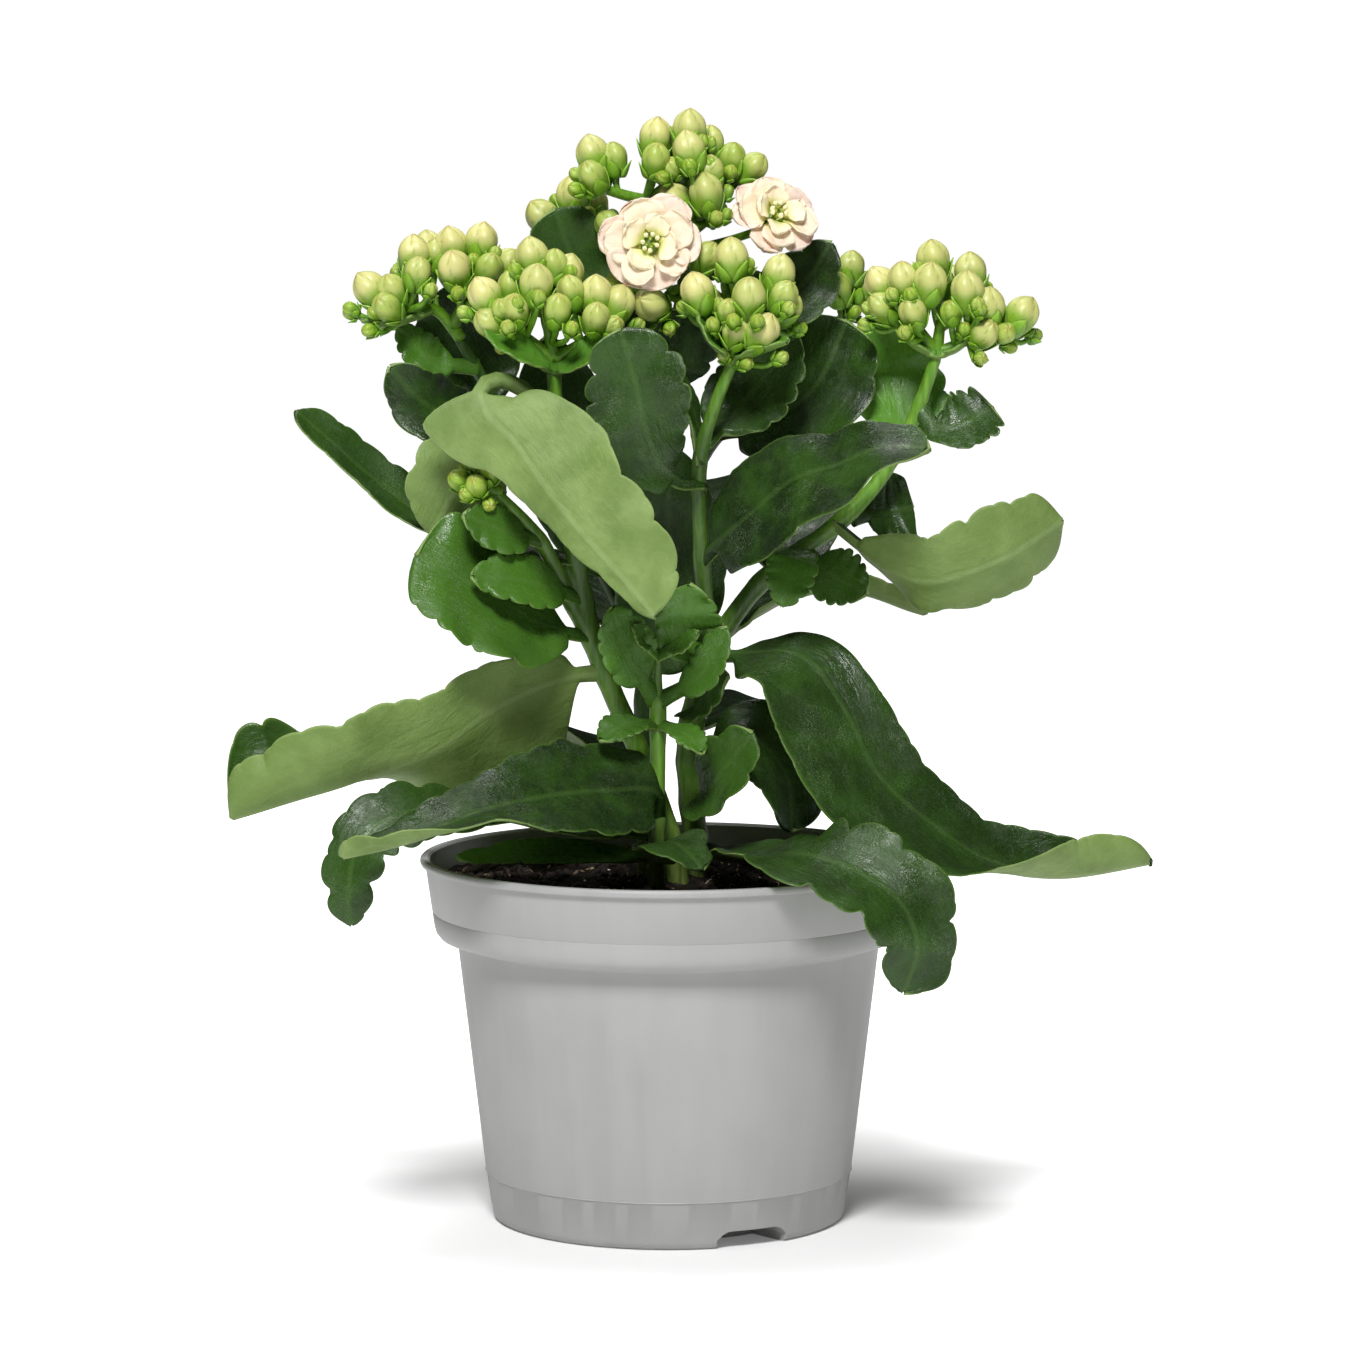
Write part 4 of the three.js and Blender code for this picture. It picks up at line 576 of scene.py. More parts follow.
def reworked(obj, *modifiers):
    """The mesh that modifiers, each a type and its settings, make of an object, which is removed."""
    for kind, settings in modifiers:
        modifier = obj.modifiers.new(kind.title(), kind)
        for key, value in settings.items():
            setattr(modifier, key, value)
    graph = bpy.context.evaluated_depsgraph_get()
    mesh = bpy.data.meshes.new_from_object(obj.evaluated_get(graph))
    bpy.data.objects.remove(obj)
    mesh.shade_smooth()
    return mesh


def tube_rings(curve, radius, around, step):
    """Rings along a curve, about a step apart. The radius is a list from end to end, or a function."""
    share = np.linspace(0, 1, max(3, round(curve.length / step) + 1))
    side, other = sides_of(curve.way(share))
    wide = (radius(share) if callable(radius) else read(radius, share))[:, None, None]
    return curve.at(share)[:, None] + wide * circle(side[:, None], other[:, None], around)


def joined(upper, under):
    """Lines across the upper and the under face of a blade, made into one ring."""
    return np.concatenate([upper, under[:, -2:0:-1]], axis=1)


# ---- leaves ----
# Marks of the leaf material: leaf is the distance along the rib, the distance across it and how near the edge
# is (1 on it), and skin is the face (0 upper, 1 under), the tone and the youth.
STALK_ROWS = 7
TOOTH = 7.5  # how far apart the small rounded teeth of an edge stand
RIPPLES = ((1.1, 0.05), (2.3, 0.035), (4.2, 0.016))  # waves along a blade, and their height by its half width


def halves(spec):
    """The half widths of a blade to the left and to the right of its rib."""
    return (spec["half"], spec["half"]) if "half" in spec else (spec["left"], spec["right"])


def half_at(half, t):
    """The half width of a blade at t, from 0 at its base to 1 at its tip: a list is eased, and one number is
    the widest of a plain oval."""
    if isinstance(half, list):
        even = np.linspace(0, 1, len(t))
        wide = np.interp(t, even, averaged(read(half, even), len(t) // 8))
        tip = np.maximum(t - LEAF["blunt"], 0) / (1 - LEAF["blunt"])
        return wide * smooth(t, -0.01, 0.05) * np.sqrt(np.maximum(1 - tip**2, 0))
    return half * np.sin(math.pi * np.clip(t, 0, 1) ** LEAF["broad"]) ** 0.48


def lobes(t, notches, depth, rng):
    """How far a notched edge stands out from the plain one, as a share of the half width."""
    places = [0.0, *(place + rng.uniform(-0.02, 0.02) for place in notches), 1.04]
    rise = np.full_like(t, -1.0)
    for number, (start, end) in enumerate(zip(places, places[1:])):
        inside = (t >= start) & (t <= end)
        u = (t[inside] - start) / (end - start)
        skewed = u**1.4  # the crest is nearer to the next notch
        arch = np.maximum(1 - np.abs(2 * skewed - 1) ** 3, 0) ** 0.6
        if number == 0:
            arch = np.where(u < 0.6, 0.67, arch)  # the edge is whole as far as the first lobe
        rise[inside] = (1.6 * arch - 1) * (rng.uniform(0.7, 1.3) if number else 1)
    return depth * rise * lerp(0.6, 1.15, smooth(t, 0.2, 0.9)) * smooth(t, 0.02, 0.1)


def edge_lines(spec, along, t, rng):
    """The half widths of a leaf on its left and its right: plain ones, and with their notches and teeth."""
    stalk = lerp(LEAF["petiole_half"], LEAF["foot_half"], np.exp(-along / 3))
    shy = np.exp(-t * 14)  # how much a row still belongs to the stalk
    lines = []
    for half in halves(spec):
        plain = half_at(half, t)
        toothed = plain * (1 + lobes(t, spec["notches"], spec["depth"], rng))
        beat = along / TOOTH + rng.uniform(0, 1) + 0.15 * np.sin(4 * t)
        small = spec["teeth"] * (np.abs(np.sin(math.pi * beat)) ** 0.6 - 0.8) * smooth(t, 0.12, 0.35)
        toothed = np.maximum(toothed + small * np.clip(plain / 4, 0, 1), 0)
        lines.append([(w**3 + (stalk * shy) ** 3) ** (1 / 3) + 0.12 for w in (plain, toothed)])
    return lines


def leaf(shape, spec, rng, half_around=16):
    """A fleshy leaf with its stalk, from inside the stem to the tip, as one closed skin."""
    spec = {**USUAL, **spec}
    curve = Curve(spec["rib"])
    root = spec["clear"] / curve.length
    petiole = spec["petiole"]
    rows = round(50 + 1.2 * curve.length)
    blade = 1 - (1 - np.linspace(0, 1, rows)) ** 1.2  # the rows are closer at the tip
    t = np.concatenate([np.zeros(STALK_ROWS), blade])
    place = np.concatenate([
        np.linspace(0, root + (1 - root) * petiole, STALK_ROWS, endpoint=False),
        root + (1 - root) * (petiole + (1 - petiole) * blade),
    ])
    out = curve.way(place)
    left = eased(unit(np.cross(read(spec["up"], place), out)), rows // 8)
    left = unit(left - out * np.sum(left * out, -1, keepdims=True))
    face = np.cross(out, left)

    q = np.cos(np.linspace(0, math.pi, half_around + 1))  # 1 at the left edge, -1 at the right one
    lines = edge_lines(spec, place * curve.length, t, rng)
    plain, toothed = (np.where(q > 0, lines[0][k][:, None], lines[1][k][:, None]) for k in (0, 1))
    across = q * lerp(plain, toothed, smooth(np.abs(q), 0.45, 1))

    fold = read(np.ravel(spec["fold"]), t)[:, None]
    bend = np.radians(fold * (0.6 + 0.8 * np.abs(q))) * smooth(t, 0, 0.12)[:, None]
    size = sum(np.max(half) for half in halves(spec)) / 2
    ripple = np.zeros_like(across)
    for waves, height in RIPPLES:
        phase, slant = rng.uniform(0, 2 * math.pi), rng.uniform(-1.5, 1.5)
        ripple += height * np.sin(2 * math.pi * waves * t[:, None] + slant * q + phase)
    crests = 2 * math.pi * (len(spec["notches"]) + 1)
    frill = (spec["wave"] + 0.03 * size) * np.sin(crests * t[:, None] + 2 * q) * q**2
    rise = np.sqrt(q * q + 0.003) - 0.055  # like |q|, but soft over the rib
    lift = rise * np.abs(across) / np.maximum(np.abs(q), 0.05) * np.sin(bend)
    lift = lift + smooth(t, 0.03, 0.3)[:, None] * (spec["rumple"] * size * ripple * (0.25 + q**2) + frill)
    middle = curve.at(place)[:, None] + left[:, None] * (across * np.cos(bend))[..., None]
    middle = middle + face[:, None] * lift[..., None]

    normal = unit(np.cross(np.gradient(middle, axis=0), -np.gradient(middle, axis=1)))
    body = smooth(t, 0, 0.22)[:, None]
    thick = lerp(LEAF["petiole"], LEAF["rib"], body) * lerp(1, LEAF["edge"] / LEAF["rib"], np.abs(q) * body)
    thick = thick * np.maximum(1 - np.abs(q) ** lerp(2, 12, body), 0) ** 0.5
    keel = 0.9 * np.exp(-((across / 1.3) ** 2)) * (1 - 0.75 * t[:, None]) * body * min(1, size / 10)
    groove = 0.35 * np.exp(-((across / 0.9) ** 2)) * (1 - 0.8 * t[:, None]) * body
    top = middle + normal * (thick / 2 - groove)[..., None]
    under = middle - normal * (thick / 2 + keel)[..., None]

    edges = np.where(np.abs(q) > 0.999, 0.5, 0.0)[None]  # half of an edge belongs to each face
    side = joined(edges, np.ones_like(edges))
    form = ((place * curve.length)[:, None], joined(across, across), np.abs(joined(q[None], q[None])))
    shape.loft(joined(top, under), leaf=form, skin=(side, rng.uniform(-1, 1), spec["youth"]))


# ---- stems ----
KNOT = {"near": 4, "long": 2.6, "swell": 0.14}  # the swelling of a stem where a leaf grows from it
BRANCH_OVERRUN = 1.6  # how far a branch goes on inside what it carries
STEM_VOXEL = 0.55


def swollen(curve, ends, knots):
    """The radius along a branch, swollen at its knots."""
    def radius(share):
        swell = sum(np.exp(-(((share * curve.length - knot) / KNOT["long"]) ** 2)) for knot in knots)
        return lerp(*ends, share) * (1 + KNOT["swell"] * np.minimum(swell, 1))

    return radius


def stem_shape(branches, joints):
    """The branches of one cutting."""
    shape = Shape()
    for branch in branches:
        axis = np.array(branch["axis"], float)
        curve = Curve([*axis, axis[-1] + BRANCH_OVERRUN * unit(axis[-1] - axis[-2])])
        knots = []
        for joint in joints:
            away = np.linalg.norm(curve.points - joint, axis=1)
            if away.min() < KNOT["near"]:
                knots.append(curve.run[away.argmin()])
        shape.loft(tube_rings(curve, swollen(curve, branch["radius"], knots), 20, 1.2))
    return shape


# ---- buds ----
# The outline of a bud from its base to its tip: shares of its length and of its radius.
BUD_FORM = Curve([(0, 0.5, 0), (0.06, 0.66, 0), (0.2, 0.86, 0), (0.4, 1.0, 0), (0.6, 1.02, 0),
                  (0.76, 0.88, 0), (0.88, 0.6, 0), (0.96, 0.28, 0), (1, 0.06, 0)])
RIPE = {"L": 1.0, "M": 0.55, "S": 0.1, "T": 0.0}
TINY_BUDS = {"L": 2, "M": 1, "S": 1}  # how many unripe buds stand round each bud
# The section of a sepal: places across it, and how far each is out from its middle, on a bud and on an open
# bloom.
SEPAL_ACROSS = np.array([-1, -0.5, 0, 0.5, 1, 0.5, 0, -0.5])
SEPAL_OUT = np.array([0.1, 0.3, 0.4, 0.3, 0.1, -0.2, -0.25, -0.2])
OPEN_SEPAL_OUT = np.array([0, 0.25, 0.35, 0.25, 0, -0.2, -0.25, -0.2])
# Marks of the bud material: bud is the share of the length, the part (0 petals, 1 sepal, 2 stalk) and the
# ripeness, and grain is the distance from a seam or an edge and the tone.
STALK_MARKS = {"bud": (0, 2, 0), "grain": (1, 0, 0)}


def bud(shape, root, spec, rng):
    """A bud with its flower stalk, its four sepals and its furled petals."""
    radius, length = BUD[spec[3]]
    middle = np.array(spec[:3], float)
    axis = unit(unit(middle - root) + 0.5 * UP)
    base = middle - axis * length / 2
    side = unit(np.cross(np.array([1, 0.3, 0]), axis))
    other = np.cross(axis, side)
    tone = rng.uniform(-1, 1)
    ripe = np.clip(RIPE[spec[3]] + rng.uniform(-0.25, 0.25), 0, 1)

    foot = base - axis * min(2.2, np.linalg.norm(base - root) / 3)
    stalk = tube_rings(Curve([root, foot, base + axis * 0.6]), [PEDICEL, PEDICEL, 0.34 * radius], 10, 0.9)
    shape.loft(stalk, bud=(0, 2, ripe), grain=(1, tone, 0))

    profile = BUD_FORM.at(np.linspace(0, 1, 17))
    profile[:, 1] = lerp(profile[:, 1] ** 0.6, profile[:, 1], ripe)  # a young bud is rounder
    share = profile[:, :1]
    turn = np.linspace(0, 2 * math.pi, 28, endpoint=False)
    spin = rng.uniform(0, 2 * math.pi)
    seam = np.abs(np.sin(2 * (turn + spin) + 1.5 * share**2))  # the furled petals wind a little
    wide = radius * profile[:, 1:2] * (1 + smooth(share, 0.1, 0.6) * (0.13 * seam**0.5 - 0.08))
    rings = base + axis * (length * share)[..., None] + wide[..., None] * bearing(side, other, turn)
    shape.loft(rings, bud=(share, 0, ripe), grain=(seam, tone, 0))

    s = np.linspace(0, 1, 9)
    reach = rng.uniform(0.4, 0.56)
    open_out = rng.uniform(0.1, 0.9)
    for k in range(4):
        angle = spin + (k + 0.5) * math.pi / 2 + rng.uniform(-0.1, 0.1)
        share = s * (reach + rng.uniform(-0.05, 0.05))
        hug = np.interp(share, profile[:, 0], profile[:, 1]) * radius + 0.22 + open_out * s**3
        spread = 0.76 * (1 - s**1.9) + 0.03
        way = bearing(side, other, angle + spread[:, None] * SEPAL_ACROSS)
        wide = hug[:, None] + SEPAL_OUT * (1 - 0.5 * s[:, None])
        rings = base + axis * (length * share)[:, None, None] + wide[..., None] * way
        shape.loft(rings, bud=(s[:, None], 1, ripe), grain=(1 - np.abs(SEPAL_ACROSS), tone, 0))


def head(shape, spec, rng):
    """A flower head: its forked stalks, and its buds, each grown from the nearest place on them."""
    carriers = []
    for points in spec["stalks"]:
        curve = Curve(points)
        carriers.append(curve.at(np.arange(2, 7) / 6))
        shape.loft(tube_rings(curve, [1.6, 1.2], 14, 1.0), **STALK_MARKS)
    carriers = np.vstack(carriers)
    heart = np.mean([row[:3] for row in spec["buds"]], axis=0)
    for row in spec["buds"]:
        middle = np.array(row[:3], float)
        radius, length = BUD[row[3]]
        root = carriers[np.argmin(np.linalg.norm(carriers - (middle - UP * length), axis=1))]
        bud(shape, root, row, rng)
        for _ in range(TINY_BUDS[row[3]]):
            turn = rng.uniform(0, 2 * math.pi)
            out = unit(bearing(RIGHT, BACK, turn) + 0.5 * unit(middle - heart))
            spot = middle + out * (radius + 1.2) - UP * length * rng.uniform(0.3, 0.55)
            bud(shape, root, [*spot, "T"], rng)


# ---- open blooms ----
# Petals of a bloom, layer by layer: how many, length and half width as a share of the bloom's radius, rise
# from its plane in degrees, the ring they grow from, how far that ring stands above the cup and how far the
# tips bend, as a share of the radius, back where it is below 0.
LAYERS = [
    {"petals": 6, "length": 0.93, "half": 0.50, "rise": 3, "ring": 2.2, "lift": -0.4, "curl": -0.10},
    {"petals": 5, "length": 0.80, "half": 0.44, "rise": 18, "ring": 2.0, "lift": 0.2, "curl": -0.14},
    {"petals": 4, "length": 0.52, "half": 0.33, "rise": 44, "ring": 1.9, "lift": 0.7, "curl": -0.16},
]
# The heart: its bottom as (radius, height), then its pistils and its stamens, with the ring they stand on,
# how many and how tall they are, and their radius from the foot to the tip.
HEART_BOTTOM = ((2.2, 0.0), (2.4, 0.5), (1.7, 1.1), (0.8, 1.4))
HEART_PARTS = [
    {"ring": 0.7, "count": 4, "tall": 3.4, "form": [0.6, 0.55, 0.42, 0.3, 0.25, 0.3, 0.1], "stamen": 0},
    {"ring": 1.5, "count": 7, "tall": 4.3, "form": [0.3, 0.24, 0.24, 0.26, 0.62, 0.55, 0.1], "stamen": 1},
]
# The green cup as (radius, height), up to the bottom of the petals.
CUP_FORM = ((0.9, -6.4), (1.5, -5.6), (2.1, -4.3), (2.5, -2.9), (CUP, -1.6), (CUP - 0.3, -1.2))


def petal(shape, bloom, way, layer, depth, rng):
    """One petal, from the ring it grows from to its rounded tip; depth is 0 outside and 1 in the heart."""
    face, radius = bloom["face"], bloom["radius"]
    length = layer["length"] * radius * rng.uniform(0.88, 1.06)
    half = layer["half"] * radius * rng.uniform(0.85, 1.1)
    tall = math.radians(layer["rise"] + rng.uniform(-6, 8))
    out = bearing(way, face, tall)
    across = unit(np.cross(face, way) + face * rng.uniform(-0.22, 0.22))
    normal = unit(np.cross(out, across))
    start = bloom["centre"] + way * layer["ring"] + face * layer["lift"]
    s = 1 - (1 - np.linspace(0, 1, 19)[:, None]) ** 1.4
    q = np.cos(np.linspace(0, math.pi, 17))
    tip = np.sqrt(np.maximum(1 - np.clip((s - 0.55) / 0.45, 0, 1) ** 2.6, 0))
    wide = half * (0.24 + 0.76 * smooth(s, 0, 0.55)) * tip + 0.06
    phase = rng.uniform(0, 2 * math.pi, 3)
    wide = wide * (1 + 0.07 * np.sin(13 * s + phase[2]) * smooth(s, 0.4, 0.7))
    wave = np.sin(6 * s + 2.5 * q + phase[0]) * 0.035 + np.sin(13 * s * q + phase[1]) * 0.03
    cup = 0.14 * q**2 * smooth(s, 0, 0.5) * (1 - 0.7 * s)
    lift = radius * (layer["curl"] * s**2 + cup + wave * s * (0.3 + np.abs(q)))
    middle = start + out * (length * s)[..., None] + across * (wide * q)[..., None]
    middle = middle + normal * lift[..., None]
    thick = lerp(0.5, 0.26, s) * np.maximum(1 - q**8, 0) ** 0.5
    above = unit(np.cross(np.gradient(middle, axis=0), -np.gradient(middle, axis=1)))
    skin = above * (thick / 2)[..., None]
    shape.loft(joined(middle + skin, middle - skin), petal=(s, joined(q[None], q[None]), depth),
               tint=(rng.uniform(0, 1), 0, 0))


def bloom_petals(shape, bloom, rng):
    for number, layer in enumerate(LAYERS):
        for k in range(layer["petals"]):
            turn = bloom["turn"] + 23 * number + 360 * k / layer["petals"] + rng.uniform(-12, 12)
            way = bearing(*bloom["axes"], math.radians(turn))
            petal(shape, bloom, way, layer, number / (len(LAYERS) - 1), rng)


def bloom_heart(shape, bloom, rng):
    """The bottom of the bloom, its pistils and its stamens with their anthers."""
    centre, face = bloom["centre"], bloom["face"]
    spoke = circle(*bloom["axes"], 16)
    shape.loft(np.array([centre + face * z + spoke * r for r, z in HEART_BOTTOM]), heart=(0, 0, 0))
    for part in HEART_PARTS:
        for k in range(part["count"]):
            angle = 2 * math.pi * (k + rng.uniform(-0.25, 0.25)) / part["count"]
            way = bearing(*bloom["axes"], angle)
            foot = centre + way * part["ring"] + face * 0.6
            tip = centre + way * part["ring"] * rng.uniform(1.0, 1.6)
            tip = tip + face * part["tall"] * rng.uniform(0.7, 1.1)
            rings = tube_rings(Curve([foot, (foot + tip) / 2 + way * 0.25, tip]), part["form"], 8, 0.3)
            shape.loft(rings, heart=(np.linspace(0, 1, len(rings))[:, None], part["stamen"], 1))


def bloom_stalk(shape, bloom, _rng):
    """The flower stalk, the green cup and the pointed sepals under the petals."""
    centre, face = bloom["centre"], bloom["face"]
    points = [*bloom["stalk"][:-1], (centre - face * 5).tolist()]
    shape.loft(tube_rings(Curve(points), [1.0, 1.0], 12, 0.8), **STALK_MARKS)
    spoke = circle(*bloom["axes"], 20)
    shape.loft(np.array([centre + face * z + spoke * r for r, z in CUP_FORM]), **STALK_MARKS)
    s = np.linspace(0, 1, 8)[:, None]
    for k in range(5):
        way = bearing(*bloom["axes"], 2 * math.pi * k / 5 + 0.4)
        spine = centre + face * (-2.6 + 1.4 * s) + way * (2.3 + 4.2 * s)
        wide = (1.5 * (1 - s**1.6) + 0.05) * SEPAL_ACROSS
        thick = OPEN_SEPAL_OUT * (1 - 0.6 * s)
        rings = spine[:, None] + np.cross(face, way) * wide[..., None] - face * thick[..., None]
        shape.loft(rings, bud=(s, 1, 0), grain=(1 - np.abs(SEPAL_ACROSS), 0, 0))


# ---- pot ----
POT_AROUND = 192
POT_SHARP = 38  # degrees
MOULD_LINE = {"at": 11.6, "beyond": 40, "size": 0.1}  # the ragged line that the mould left


def pot_profile(rim, height):
    """The outer and inner line of the pot, from its foot up, over the lip and down to its floor."""
    foot = [(40.8, 0.0), (42.0, 0.25), (42.7, 0.9), (42.95, 2.0)]
    line = [(44.25, 11.3), (44.4, 11.48), (44.52, 11.6), (44.42, 11.74), (44.42, 11.9)]
    collar = [(51.0, 67.4), (51.5, 67.9), (53.6, 68.35), (55.3, 68.9), (56.2, 70.0), (56.6, 71.4)]
    scribe = [(57.05, 74.7), (56.95, 74.95), (57.15, 75.2)]
    lip = [(rim - 1.3, height - 1.9), (rim - 0.25, height - 1.6), (rim, height - 1.0),
           (rim - 0.1, height - 0.4), (rim - 0.5, height), (rim - 1.9, height), (rim - 2.4, height - 0.5)]
    inside = [(rim - 3.9, 72), (rim - 4.6, 69.9), (rim - 10.2, 67.2), (42.8 - POT_WALL, 2.2), (40, 1.4)]
    return foot + line + collar + scribe + lip + inside


def pot_rings(profile):
    """The profile, a list of (radius, height), turned about +Z."""
    turn = np.linspace(0, 2 * math.pi, POT_AROUND, endpoint=False)
    ragged = 0.4 + 0.6 * np.sin(turn * 9 + 2 * np.sin(turn * 5)) * np.sin(turn * 31 + 1)
    rings = []
    for radius, height in profile:
        on_line = abs(height - MOULD_LINE["at"]) < 0.15 and radius > MOULD_LINE["beyond"]
        wide = radius + MOULD_LINE["size"] * ragged * on_line
        rings.append(bearing(RIGHT, BACK, turn) * wide[:, None] + UP * height)
    return np.array(rings)


def sector(shape, inner, outer, low, high, angle, arc, corner=0.0):
    """A block between two radii and two heights, centred on an angle, its upper corners cut back."""
    count = 15
    way = bearing(RIGHT, BACK, np.radians(np.linspace(angle - arc / 2, angle + arc / 2, count)))
    from_end = np.minimum(np.arange(count), np.arange(count)[::-1]) / 2.5
    roof = UP * (high - corner * (1 - np.clip(from_end, 0, 1)) ** 2)[:, None]
    near, far = way * inner, way * outer
    shape.loft(np.stack([near + roof, far + roof, far + UP * low, near + UP * low], 1))


def pot_mesh():
    """The turned pot with its raised drain pockets, and the notches that they cut in its foot. Each pocket is
    a cover with its hollow cut out of it, through the floor and out past the foot."""
    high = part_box("pot")[1]
    shell, covers, cutters = Shape(), Shape(), Shape()
    shell.loft(pot_rings(pot_profile(high.x / MM, high.z / MM)))
    for k in range(DRAIN["count"]):
        angle = DRAIN["first"] + 360 * k / DRAIN["count"]
        sector(covers, DRAIN["inner"] - DRAIN["skin"], DRAIN["outer"], 0.7, DRAIN["height"] + DRAIN["skin"],
               angle, DRAIN["arc"] + 3)
        sector(cutters, DRAIN["inner"], DRAIN["outer"] + 4.9, -1, DRAIN["height"] + 0.6,
               angle, DRAIN["arc"], DRAIN["corner"])
    pot, cover, cutter = (shown(name, shape.mesh(name)) for name, shape in (
        ("pot_shell", shell), ("pot_covers", covers), ("pot_cutters", cutters)))
    mesh = reworked(
        pot,
        ("BOOLEAN", {"operation": "UNION", "object": cover, "solver": "EXACT"}),
        ("BOOLEAN", {"operation": "DIFFERENCE", "object": cutter, "solver": "EXACT"}),
    )
    bpy.data.objects.remove(cover)
    bpy.data.objects.remove(cutter)
    mesh.set_sharp_from_angle(angle=math.radians(POT_SHARP))
    return mesh


# ---- peat ----
WAVE_LENGTHS = (34, 21, 13, 8, 5.5, 3.8, 2.9)
# Loose bits on the peat: how many, their smallest and largest size, how much longer than wide, the darkest
# and the palest colour, and the roughness.
BITS = {
    "soil_lumps": {"count": 900, "sizes": (0.5, 1.5), "long": 1.2, "look": ("#0b0806", "#2a1f16", 0.95)},
    "soil_chips": {"count": 130, "sizes": (0.3, 0.7), "long": 2.2, "look": ("#3a2c1e", "#8a7558", 0.8)},
    "soil_specks": {"count": 70, "sizes": (0.2, 0.42), "long": 1.3, "look": ("#b5ab98", "#efe9dc", 0.7)},
}
FIBRES = 70


def ground_of(top, rng):
    """A function for the height of the peat at a place, with waves of every length in three directions."""
    waves = []
    for length in WAVE_LENGTHS:
        for _ in range(3):
            way = rng.uniform(0, 2 * math.pi)
            turn = 2 * math.pi / length
            phase = rng.uniform(0, 6)
            waves.append((0.022 * length**0.75, turn * math.cos(way), turn * math.sin(way), phase))

    def ground(x, y):
        return top - PEAT["sunk"] + sum(a * np.sin(kx * x + ky * y + phase) for a, kx, ky, phase in waves)

    return ground


def soil_mesh(ground):
    """The filling of the pot. It ends inside the drain pockets up to their top."""
    spoke = circle(RIGHT, BACK, 160)
    pocket_top = DRAIN["height"] + DRAIN["skin"] + 0.3
    pocket_side = DRAIN["inner"] - DRAIN["skin"] - 0.5
    below = ((pocket_side, 1.8), (pocket_side, pocket_top), (41.4, pocket_top), (49.2, 66.4), (54.3, 70.4))
    rings = [spoke * radius + UP * height for radius, height in below]
    for share in np.linspace(1, 0.01, 44) ** 0.8:
        ring = spoke * (PEAT["edge"] * share)
        ring[:, 2] = ground(ring[:, 0], ring[:, 1]) + PEAT["banked"] * smooth(share, 0.9, 1.0)
        rings.append(ring)
    shape = Shape()
    shape.loft(np.array(rings))
    return shape.mesh("soil_peat", sharp=60)


def somewhere(reach, inner, rng):
    """A place on the peat within reach of its middle. None lies in the middle inner share of that area."""
    radius, angle = reach * rng.uniform(inner, 1) ** 0.5, rng.uniform(0, 2 * math.pi)
    return np.array([radius * math.cos(angle), radius * math.sin(angle)])


def crumbs(shape, ground, rng, count, sizes, long):
    """Loose bits on the peat, each a rough ball drawn out by long."""
    ball = np.array([[math.cos(a) * math.cos(b), math.sin(a) * math.cos(b), math.sin(b)]
                     for b in (-1.1, -0.4, 0.4, 1.1) for a in np.linspace(0, 2 * math.pi, 7)[:-1]])
    for _ in range(count):
        spot = somewhere(PEAT["bits"], 0.02, rng)
        size = rng.uniform(*sizes)
        turn = np.linalg.qr(rng.normal(size=(3, 3)))[0]
        turn *= np.sign(np.linalg.det(turn))
        stretch = np.array([size * long, size * rng.uniform(0.5, 1), size * rng.uniform(0.4, 0.9)])
        lump = (ball.reshape(4, 6, 3) * stretch * rng.uniform(0.75, 1.25, (4, 6, 1))) @ turn.T
        place = np.array([*spot, ground(*spot) + size * 0.2])
        shape.loft(lump + place, crumb=(rng.uniform(0, 1), 0, 0))


def fibres(shape, ground, rng, count):
    """Thin strands that wander over the peat in four steps."""
    for _ in range(count):
        spot = somewhere(PEAT["fibres"], 0.05, rng)
        way = rng.uniform(0, 2 * math.pi)
        reach = rng.uniform(2, 7)
        points = []
        for k in range(4):
            way += rng.uniform(-0.9, 0.9)
            spot = spot + reach / 4 * np.array([math.cos(way), math.sin(way)])
            spot *= min(1, PEAT["fibre_ends"] / max(np.linalg.norm(spot), 1))
            hump = 1.3 * math.sin(math.pi * (k + 0.5) / 4) * rng.uniform(0.2, 1)
            points.append([*spot, ground(*spot) + hump])
        shape.loft(tube_rings(Curve(points), [0.1, 0.16, 0.08], 5, 0.7), crumb=(rng.uniform(0, 1), 0, 0))


# ---- materials ----
SHADED_PLACE = (0.004, -0.005, 0.165)  # the middle of the plant, where the stems get painted shade, in metres
POT_TAPER = 0.0955  # how much wider the pot gets with its height


def colour(code):
    """A colour written as #rrggbb, in linear light."""
    parts = [int(code[k:k + 2], 16) / 255 for k in (1, 3, 5)]
    return (*(p / 12.92 if p <= 0.04045 else ((p + 0.055) / 1.055) ** 2.4 for p in parts), 1.0)


